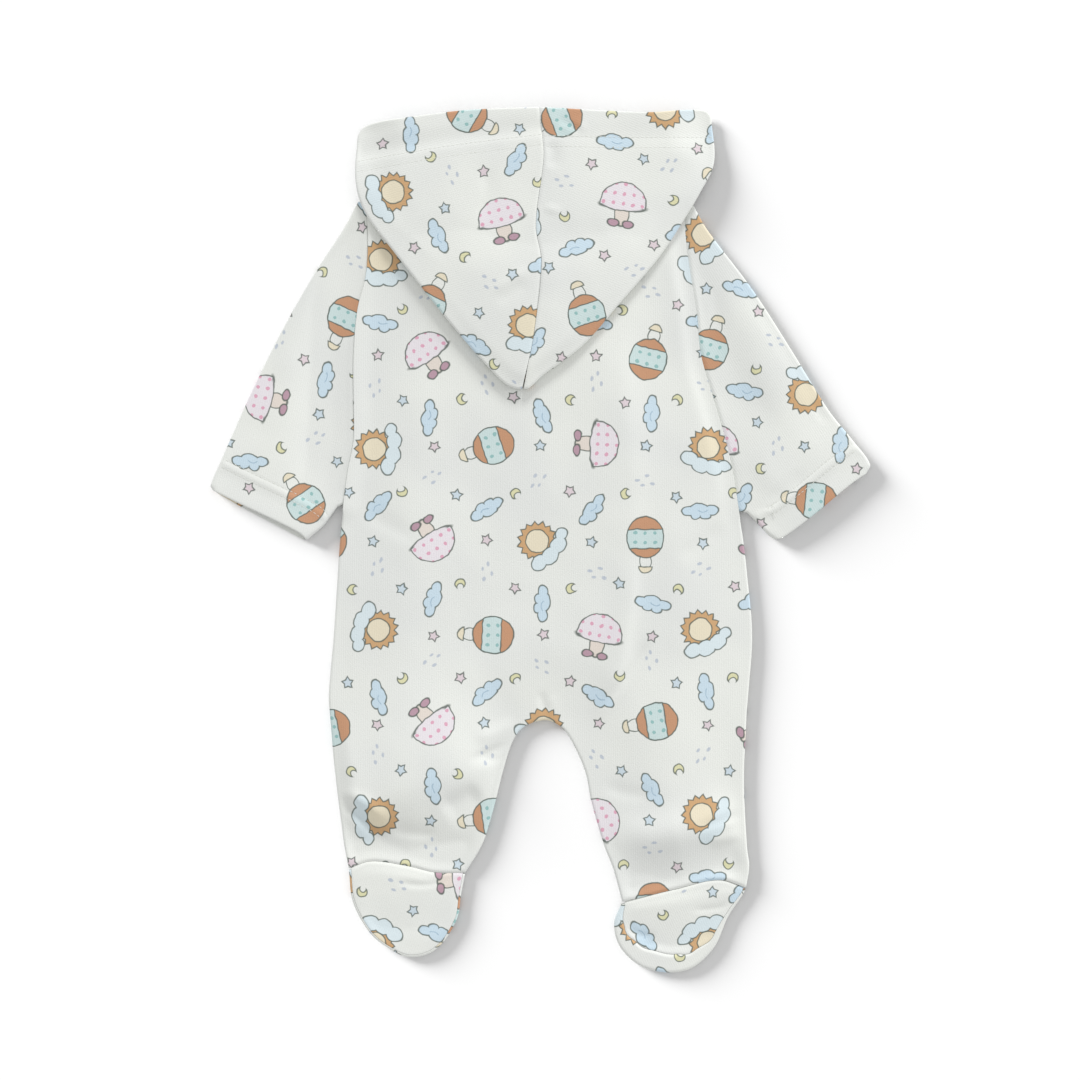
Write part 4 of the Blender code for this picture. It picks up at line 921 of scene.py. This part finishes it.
# ---------------------------------------
# The hood: two halves sewn together down the middle and spread over the shoulders.
# Each half is folded round at the side, and a wide turned hem runs round the face.
HOOD_STEP = 2.4
UNDER_HOOD_STEP = 3.84
HOOD_FOLD = 4.4                 # mm, the height of the folded side
HOOD_HALF = HOOD_FOLD / 2
HOOD_DROP_REACH = 58.0          # mm past the suit's edge in which the hood sinks to the surface
HOOD_POINT_REACH = 20.0
HOOD_BLEND = 30.0               # mm from the folded side to where the hood is level
HOOD_GAP = 0.14                 # mm between its halves, under them, and near its point
UNDER_HOOD_GAP = 0.7
HOOD_POINT_GAP = 1.0
LAYER_GAP = 0.35
HEM_SLOPES = (12.0, 8.0)        # mm over which the hem is drawn down, above it and below
TOP_EDGE_DROP = 0.8
TOP_EDGE_REACH = 1.4
HOOD_SEAM_DIP = 0.35
HOOD_SEAM_REACH = 1.3
HOOD_LAYER_REACH = 15.0         # mm past its under layer to where the hood is level again
HEM_ROW_GAP = 7.0               # mm from the first row of stitches to the second
HOOD_ROW_WIDTH = 0.9
HOOD_STITCH_ROOM = 1.5          # mm from the hood's seam to the first stitch
HOOD_STITCH_LIFT = 0.06
HEM_GUIDES = (-2.2, -1.6, -1.0, -0.5, 0.0, 1.2)
HOOD_ON_CLOTH = (29.0, 30.0)

HOOD_POINT = (-12.0, 102.0)
HOOD_TOP_MIDDLE = (-1.0, 293.0)
HOOD_TOP_LEFT = [(-51, 291), (-93.5, 285.8), (-112, 283), (-120.6, 279.6)]
HOOD_TOP_RIGHT = [(73, 289.7), (101.7, 291.7), (112.5, 291)]
HOOD_SIDE_LEFT = [(-124.2, 274), (-125.5, 244), (-119.3, 222.4), (-98.9, 194.5),
                  (-56.8, 141.4), (-32.3, 113.6), (-23, 105), (-16.5, 102.3)]
HOOD_SIDE_RIGHT = [(116, 286), (117.8, 256), (107.8, 234.6), (96.9, 216.2), (80, 191),
                   (53.4, 159.8), (28.2, 131.2), (1.7, 111.5), (-4.5, 105.6), (-8, 102.5)]
HOOD_SEAM = [(1, 275.4), (2.2, 258.4), (-3.1, 213), (0.7, 187.7), (-4.8, 136.7), (-9, 116.3)]
HOOD_HEM_LEFT = [(-125, 256.5), (-60, 267), (1, 274.5)]
HOOD_HEM_RIGHT = [(1.5, 273.5), (60, 272.6), (117, 273.2)]
FACE_EDGE_LEFT = [(-50, 256), (-100, 262)]
FACE_EDGE_RIGHT = [(45, 258), (94, 272)]
FACE_MIDDLE = (-1.0, 247.0)
UNDER_SEAM = [HOOD_POINT, (-3, 190), FACE_MIDDLE]

# how far up the suit, and the height the hood's upper layer settles at
HOOD_LEVELS = [(102, 11.7), (150, 11.4), (190, 11.1), (226, 11.1), (262, 10.4), (293, 9.6)]
# the two halves stand a little higher where they meet
HOOD_RIDGE = ([(1, 340), (0, 270), (-2, 215), (-1, 165), (-6, 125), (-12, 60)], 52, 2.2)
LEFT_HOOD_CREASES = [
    HOOD_RIDGE,
    ([(-40, 254), (-36, 236), (-42, 214)], 5, -0.5, 0.3),
    ([(-50, 240), (-54, 200), (-44, 160)], 16, 0.6),
    ([(-32, 166), (-20, 176), (-6, 184)], 3.4, 0.6),
    ([(-30, 158), (-18, 168), (-6, 174)], 4, -0.4),
    ([(-112, 262), (-104, 238), (-88, 214)], 9, -0.4, 0.2),
]
RIGHT_HOOD_CREASES = [
    HOOD_RIDGE,
    ([(5, 270), (8, 262), (7, 250)], 4, -0.9, 0.3),
    ([(11, 287), (18, 281), (28, 276)], 2.2, -0.7, 0.2),
    ([(20, 286), (27, 280), (33, 277)], 2, 0.4),
    ([(14, 281), (24, 276)], 2.6, 0.5),
    ([(2, 224), (8, 223.5), (14, 221)], 2.4, 0.6),
    ([(4, 216), (20, 208), (48, 206)], 11, -0.7),
    ([(8, 200), (8, 170), (2, 140)], 9, 0.4),
    ([(92, 266), (84, 240), (66, 212)], 12, -0.4),
]


def under_hood(points):
    """Height of the top of what the hood lies on."""
    depth = np.max([depth_in(points, outline) for outline in lower_outlines], axis=0)
    height = BACK_HEIGHT + LAYER_GAP
    return np.where(
        depth > 0.0, height + back_crown(points), height * near(-depth, HOOD_DROP_REACH))


def hood_level(y):
    """Height the hood's upper layer settles at, away from its folds."""
    return np.mean([np.interp(y + step, *zip(*HOOD_LEVELS)) for step in range(-12, 13, 4)], axis=0)


hood_seam = curve([HOOD_TOP_MIDDLE] + HOOD_SEAM + [HOOD_POINT], EDGE_STEP)
under_seam = spaced(UNDER_SEAM, EDGE_STEP)
for (name, side, top_spots, side_spots, hem_spots, hem_sink, hem_low, face_spots, creases,
     cloth_turn) in (
    ("hood_left", -1, HOOD_TOP_LEFT, HOOD_SIDE_LEFT, HOOD_HEM_LEFT, 0.8, 4.5, FACE_EDGE_LEFT,
     LEFT_HOOD_CREASES, 74.0),
    ("hood_right", 1, HOOD_TOP_RIGHT, HOOD_SIDE_RIGHT, HOOD_HEM_RIGHT, 0.4, 0.5, FACE_EDGE_RIGHT,
     RIGHT_HOOD_CREASES, -68.0),
):
    def beside(line, gap):
        """The middle line moved to this half's side, a little further near the point."""
        near_point = near(line[:, 1] - HOOD_POINT[1], HOOD_POINT_REACH)
        return line + np.outer(toward(gap, HOOD_POINT_GAP, near_point), (side / 2, 0.0))

    seam = beside(hood_seam, HOOD_GAP)
    lower_seam = beside(under_seam, UNDER_HOOD_GAP)
    side_fold = joined(curve(side_spots, EDGE_STEP), spaced([side_spots[-1], seam[-1]], EDGE_STEP))
    top_edge = curve([seam[0]] + top_spots + [side_fold[0]], EDGE_STEP)
    face_edge = curve([lower_seam[-1]] + face_spots + [side_fold[0]], EDGE_STEP)
    upper_outline = joined(top_edge, side_fold, seam[::-1])[:-1]
    lower_outline = joined(face_edge, side_fold, lower_seam)[:-1]
    hem_line = curve(hem_spots, EDGE_STEP)

    def hood_top(points):
        """Height of the hood's upper layer."""
        base = under_hood(points)
        depth = distance_to(points, side_fold)
        folded = base + HOOD_HALF + fold_profile(depth, HOOD_HALF)
        over_layer = smooth_step(1.0 + depth_in(points, lower_outline) / HOOD_LAYER_REACH)
        level = hood_level(points[:, 1])
        level = toward(level, np.maximum(level, base + HOOD_FOLD), over_layer)
        face = toward(folded, level, smooth_step((depth - HOOD_HALF) / HOOD_BLEND))
        waves = creased(points, creases) + unevenness(points, 4.1)
        above = points[:, 1] - np.interp(points[:, 0], *hem_line.T)
        from_low = above - hem_low
        sunk = near(np.abs(from_low), np.where(from_low > 0.0, *HEM_SLOPES))
        hem = hem_sink * sunk + ROW_DIP * np.exp(-((above + HEM_ROW_GAP) / HOOD_ROW_WIDTH) ** 2)
        edge = TOP_EDGE_DROP * (1.0 - rounded(distance_to(points, top_edge), TOP_EDGE_REACH))
        dip = HOOD_SEAM_DIP * near(distance_to(points, seam), HOOD_SEAM_REACH)
        return (face + waves * smooth_step(depth / FOLD_FADE) - hem * smooth_step(depth / HEM_FADE)
                - (edge + dip) * smooth_step(depth / ROW_FADE))

    def hood_bottom(points):
        """Height of the hood's under layer."""
        depth = distance_to(points, side_fold)
        return under_hood(points) + HOOD_HALF - fold_profile(depth, HOOD_HALF)

    guides = [hem_line + (0.0, step) for step in HEM_GUIDES]
    surface = Surface()
    surface.layer(plan_mesh(upper_outline, EDGE_ROWS, HOOD_STEP, guides), hood_top, cloth_turn,
                  HOOD_ON_CLOTH)
    surface.layer(plan_mesh(lower_outline, EDGE_ROWS, UNDER_HOOD_STEP), hood_bottom, cloth_turn,
                  HOOD_ON_CLOTH, (side_spots[0], side_spots[-3]))
    hood = surface.cut(name)
    for row in (0.0, HEM_ROW_GAP):
        line = hem_line - (0.0, row)
        line = line[distance_to(line, seam) > HOOD_STITCH_ROOM]
        stitch_row(line, upper_outline, [side_fold], hood_top, HOOD_STITCH_LIFT)

# ---------------------------------------
# The feet: a toe piece turns up round each foot, and a sole is sewn on top of it and
# to the leg's heel. The soft cloth bulges into a roll below the heel seam.
FOOT_STEP = 1.7
UNDER_FOOT_STEP = 5.1
FOOT_EDGE_STEP = 1.6
FOOT_WALL = 2.4                 # mm, the height of the toe piece's side
FOOT_RISE = 2.1                 # mm from there to the sole's edge
FOOT_RADIUS = 2.8
FOOT_FLOOR_INSET = 2.0          # mm that the underside lies in from the side
FOOT_CROWN = 0.5
FOOT_CROWN_REACH = 25.0
HEEL_ROLL = 0.2
HEEL_ROLL_WIDTH = 5.0
SOLE_SEAM_DIP = 0.25            # share of a seam's dip that the sole's seam has
SOLE_SEAM_REACH = 1.4
SOLE_UNEVENNESS = 0.8           # share of the cloth's unevenness that the sole has
SOLE_EDGE_ROWS = (0.5, 1.1, 1.9, 2.9)
TOE_TILTS = (0, 20, 40, 60, 75)  # degrees through which the toe piece turns up
SOLE_GAP = 0.12
RIM_SHARES = (0.0, 0.04, 0.1, 0.18, 0.28, 0.42, 0.6, 0.8, 1.0)
TOE_ON_CLOTH = (50.0, 13.0)
SOLE_ON_CLOTH = (12.0, 44.0)

LEFT_FOOT = [(-51.2, -226.8), (-53.8, -240), (-57, -258), (-71, -278), (-89, -283.2),
             (-105, -276), (-116.6, -265.9), (-127.5, -245.5), (-130.1, -224)]
LEFT_SOLE_INSET = [1.4, 1.4, 1.4, 1.6, 1.5, 1.4, 1.4, 1.4, 1.4]
RIGHT_FOOT = [(139.3, -237), (137, -241.5), (127.5, -255.7), (117, -278), (98.3, -292.4),
              (71.7, -291), (54.7, -277.4), (50, -261), (55.1, -246.5)]
RIGHT_SOLE_INSET = [1.6, 2.2, 4.4, 8.8, 12.4, 13.4, 11, 7, 2.6]
LEFT_HEEL_ROLL = [(-118, -226), (-92, -228.5), (-64, -230)]
RIGHT_HEEL_ROLL = [(66, -248.5), (94, -245.5), (126, -239.5)]
LEFT_FOOT_CREASES = [
    ([(-100, -232), (-83, -234.5), (-70, -233), (-57, -228)], 2.2, -0.7, 0.3),
    ([(-170, -234), (-118, -233), (-90, -236), (-64, -237), (-10, -234)], 22, 0.4, -0.5),
    ([(-130, -258), (-92, -262), (-50, -258)], 12, -0.8, 0.4),
]
RIGHT_FOOT_CREASES = [
    ([(10, -252), (66, -251), (94, -248), (126, -241), (170, -228)], 17, 0.8, -0.5),
    ([(20, -268), (70, -275), (100, -273), (122, -266), (160, -250)], 14, -1.3, 0.45),
    ([(100, -251.5), (114, -251), (128, -248), (138, -242)], 1.8, -0.6, 0.3),
    ([(57, -258), (61.5, -266), (70, -269), (80, -268)], 2, -0.6, 0.3),
]


def eased(values, count):
    """The values spread over count places, with a smooth change from each to the next."""
    place = np.linspace(0.0, len(values) - 1.0, count)
    index = np.minimum(place.astype(int), len(values) - 2)
    values = np.array(values)
    return values[index] + (values[index + 1] - values[index]) * smooth_step(place - index)


for side, foot_spots, sole_insets, heel_seam, heel_height, roll_spots, creases, cloth_turn in (
    ("left", LEFT_FOOT, LEFT_SOLE_INSET, left_heel, LEFT_HEEL_HEIGHT, LEFT_HEEL_ROLL,
     LEFT_FOOT_CREASES, 20.0),
    ("right", RIGHT_FOOT, RIGHT_SOLE_INSET, right_heel, RIGHT_HEEL_HEIGHT, RIGHT_HEEL_ROLL,
     RIGHT_FOOT_CREASES, -25.0),
):
    foot_edge = curve(foot_spots, FOOT_EDGE_STEP)
    sole_seam = moved(foot_edge, -eased(sole_insets, len(foot_edge)))
    roll_line = curve(roll_spots, FOOT_EDGE_STEP)

    def foot_height(points):
        """Height of the foot's face over the surface."""
        depth = distance_to(points, foot_edge)
        crown = FOOT_CROWN * smooth_step((depth - FOOT_RADIUS) / FOOT_CROWN_REACH)
        dip = SOLE_SEAM_DIP * SEAM_DIP * near(distance_to(points, sole_seam), SOLE_SEAM_REACH)
        face = FOOT_WALL + FOOT_RISE * rounded(depth, FOOT_RADIUS) + crown
        return face - dip * smooth_step(depth / ROW_FADE)

    def sole_height(points):
        """Height of the sole, with its roll below the heel seam."""
        foot = foot_height(points)
        roll = HEEL_ROLL * np.exp(-(distance_to(points, roll_line) / HEEL_ROLL_WIDTH) ** 2)
        waves = creased(points, creases) + SOLE_UNEVENNESS * unevenness(points, 2.9)
        waves *= smooth_step(distance_to(points, sole_seam) / WAVE_REACH_FROM_SEAM)
        to_heel = distance_to(points, heel_seam)
        sewn = np.minimum(heel_height, foot)
        face = toward(foot + roll + waves, sewn, near(to_heel, HEEL_REACH))
        return face - SEAM_DIP * near(to_heel, SEAM_REACH)

    rows = []
    cloth_rows = []
    for degrees in TOE_TILTS:
        tilt = math.radians(degrees)
        line = moved(foot_edge, -FOOT_FLOOR_INSET * (1.0 - math.sin(tilt)))
        height = FOOT_WALL * (1.0 - math.cos(tilt))
        rows.append(np.column_stack([line, resting(line) + height]))
        cloth_rows.append(moved(foot_edge, FOOT_WALL - height))
    for share in RIM_SHARES:
        line = toward(foot_edge, sole_seam, share)
        rows.append(np.column_stack([line, foot_height(line)]))
        cloth_rows.append(line)
    surface = Surface()
    surface.loft(rows, [turned_plan(row, cloth_turn, TOE_ON_CLOTH) for row in cloth_rows])
    base = plan_mesh(moved(foot_edge, -FOOT_FLOOR_INSET), (), UNDER_FOOT_STEP)
    surface.layer(base, resting, cloth_turn, TOE_ON_CLOTH, (foot_spots[0], foot_spots[-1]))
    toe = surface.cut("toe_" + side)

    sole_edge = moved(sole_seam, -SOLE_GAP)
    heel_edge = moved(heel_seam, -SOLE_GAP)
    sole_outline = np.vstack([sole_edge[-2:0:-1], heel_edge[-2:0:-1]])
    surface = Surface()
    surface.layer(plan_mesh(sole_outline, SOLE_EDGE_ROWS, FOOT_STEP), sole_height, cloth_turn,
                  SOLE_ON_CLOTH)
    sole = surface.cut("sole_" + side)

# ---------------------------------------
# The hems' stitches: short runs of soft off-white polyester thread, one row along
# the hood's hem and two round each cuff, pulled a little into the cloth.
STITCH_LENGTH = 2.3             # mm
STITCH_PITCH = 3.1
STITCH_LINE_STEP = 1.0
THREAD_WIDTH = 0.4
THREAD_HEIGHT = 0.2
STRAND_SIZE = 2.1               # mm, which gives the thread a turn every 0.66 mm
THREAD_WHITE = "E4E5DF"
THREAD_PAINTED_GROOVE_SHADE = "C9CBC4"

thread = new_material("matt_spun_polyester_thread")
tree = thread.node_tree
place = add(tree, "ShaderNodeTexCoord").outputs["Object"]
# the twist of the strands is painted shade: darker bands of colour where the grooves between
# strands lie
strands = add(tree, "ShaderNodeTexWave", place, 1000.0 / STRAND_SIZE, 2.0, 1.0)
painted_strand_shade = add(tree, "ShaderNodeMix", strands.outputs["Fac"], THREAD_PAINTED_GROOVE_SHADE, THREAD_WHITE,
           data_type="RGBA")
add(tree, "ShaderNodeOutputMaterial", add(tree, "ShaderNodeBsdfPrincipled", painted_strand_shade, named={
    "Roughness": 0.7, "Sheen Weight": 0.15}))

SIZES = {"Stitch length": STITCH_LENGTH, "Stitch pitch": STITCH_PITCH,
         "Thread width": THREAD_WIDTH, "Thread height": THREAD_HEIGHT}
stitching = bpy.data.node_groups.new("stitching", "GeometryNodeTree")
sockets = stitching.interface
sockets.new_socket("Rows", in_out="INPUT", socket_type="NodeSocketGeometry")
for size_name in SIZES:
    sockets.new_socket(size_name, in_out="INPUT", socket_type="NodeSocketFloat")
sockets.new_socket("Stitches", in_out="OUTPUT", socket_type="NodeSocketGeometry")
given = add(stitching, "NodeGroupInput").outputs
paths = add(stitching, "GeometryNodeMeshToCurve", given["Rows"])
stops = add(stitching, "GeometryNodeResampleCurve", paths, mode="LENGTH",
            named={"Length": given["Stitch pitch"]})
tangent = add(stitching, "GeometryNodeInputTangent")
heading = add(stitching, "FunctionNodeAlignRotationToVector", axis="X", named={"Vector": tangent})
bead = add(stitching, "GeometryNodeMeshUVSphere", 6, 5, 0.5)
size = add(stitching, "ShaderNodeCombineXYZ", given["Stitch length"], given["Thread width"],
           given["Thread height"])
shaped = add(stitching, "GeometryNodeTransform", bead.outputs["Mesh"], named={"Scale": size})
laid = add(stitching, "GeometryNodeInstanceOnPoints", named={
    "Points": stops.outputs["Curve"], "Instance": shaped, "Rotation": heading})
whole = add(stitching, "GeometryNodeRealizeInstances", laid.outputs["Instances"])
dyed = add(stitching, "GeometryNodeSetMaterial", whole, named={"Material": thread})
add(stitching, "NodeGroupOutput", dyed)

row_points = []
row_links = []
for line in stitch_lines:
    start = len(row_points)
    row_points.extend(spaced(line, STITCH_LINE_STEP) * 0.001)
    row_links.extend((place, place + 1) for place in range(start, len(row_points) - 1))
row_mesh = bpy.data.meshes.new("stitch_rows")
row_mesh.from_pydata(row_points, row_links, [])
stitch_rows = bpy.data.objects.new("stitch_rows", row_mesh)
bpy.context.scene.collection.objects.link(stitch_rows)
sewing = stitch_rows.modifiers.new("sewing", "NODES")
sewing.node_group = stitching
for item in sockets.items_tree:
    if item.in_out == "INPUT" and item.name in SIZES:
        sewing[item.identifier] = SIZES[item.name] * 0.001
sewn = stitch_rows.evaluated_get(bpy.context.evaluated_depsgraph_get())
stitches = bpy.data.objects.new("hem_stitches", bpy.data.meshes.new_from_object(sewn))
stitch_rows.modifiers.clear()
bpy.data.objects.remove(stitch_rows)
bpy.context.scene.collection.objects.link(stitches)
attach(stitches, "root")

# ---------------------------------------
# The table it lies on is plain, pale and evenly lit. A soft lamp over the hood and a
# weak one beside it light the suit alone, and one lights the table from its left.
FLOOR_PALE = "D8D8D8"
FLOOR_HALF = 3.0                # m
FLOOR_DROP = 0.0002             # m that it lies under the suit
SKY = 0.82                      # strength of the even light from all round
FRAME_WIDTH = 0.7344            # m of the table that the square frame shows
FRAME_MIDDLE = -0.00034

floor_mesh = bpy.data.meshes.new("floor")
floor_mesh.from_pydata([(x * FLOOR_HALF, y * FLOOR_HALF, -FLOOR_DROP) for x, y in (
    (-1, -1), (1, -1), (1, 1), (-1, 1))], [], [(0, 1, 2, 3)])
floor = bpy.data.objects.new("floor", floor_mesh)
bpy.context.scene.collection.objects.link(floor)
table = new_material("matt_white_table")
tree = table.node_tree
add(tree, "ShaderNodeOutputMaterial", add(tree, "ShaderNodeBsdfPrincipled", FLOOR_PALE, named={
    "Roughness": 0.9, "Specular IOR Level": 0.0}))
floor_mesh.materials.append(table)

world = bpy.data.worlds.new("studio")
world.use_nodes = True
world.node_tree.nodes["Background"].inputs["Color"].default_value = (1.0, 1.0, 1.0, 1.0)
world.node_tree.nodes["Background"].inputs["Strength"].default_value = SKY
bpy.context.scene.world = world
bpy.context.scene.view_settings.view_transform = "Standard"

# name, share of the light, degrees up from the table, degrees across, where it stands, lit
for light_name, share, rise, spread, (from_x, from_y), lit in (
    ("lamp_over_the_hood", 0.27, 20.0, 14.0, (0.20, 1.0), "EXCLUDE"),
    ("lamp_beside_the_suit", 0.06, 12.0, 10.0, (1.0, 0.1), "EXCLUDE"),
    ("lamp_over_the_table", 0.68, 13.0, 25.0, (-1.0, 0.7), "INCLUDE"),
):
    lamp = bpy.data.lights.new(light_name, "SUN")
    lamp.energy = share * math.pi / math.sin(math.radians(rise))
    lamp.angle = math.radians(spread)
    light = bpy.data.objects.new(light_name, lamp)
    bpy.context.scene.collection.objects.link(light)
    spot = Vector((from_x, from_y, math.hypot(from_x, from_y) * math.tan(math.radians(rise))))
    light.location = spot
    light.rotation_euler = (-spot).to_track_quat("-Z", "Y").to_euler()
    table_link = bpy.data.collections.new(light_name)
    table_link.objects.link(floor)
    light.light_linking.receiver_collection = table_link
    table_link.collection_objects[0].light_linking.link_state = lit

# The camera looks straight down
lens = bpy.data.cameras.new("camera")
lens.lens = 100.0
lens.sensor_width = 36.0
lens.clip_end = 20.0
camera = bpy.data.objects.new("camera", lens)
camera.location = (FRAME_MIDDLE, 0.0, FRAME_WIDTH * lens.lens / lens.sensor_width)
bpy.context.scene.collection.objects.link(camera)
bpy.context.scene.camera = camera
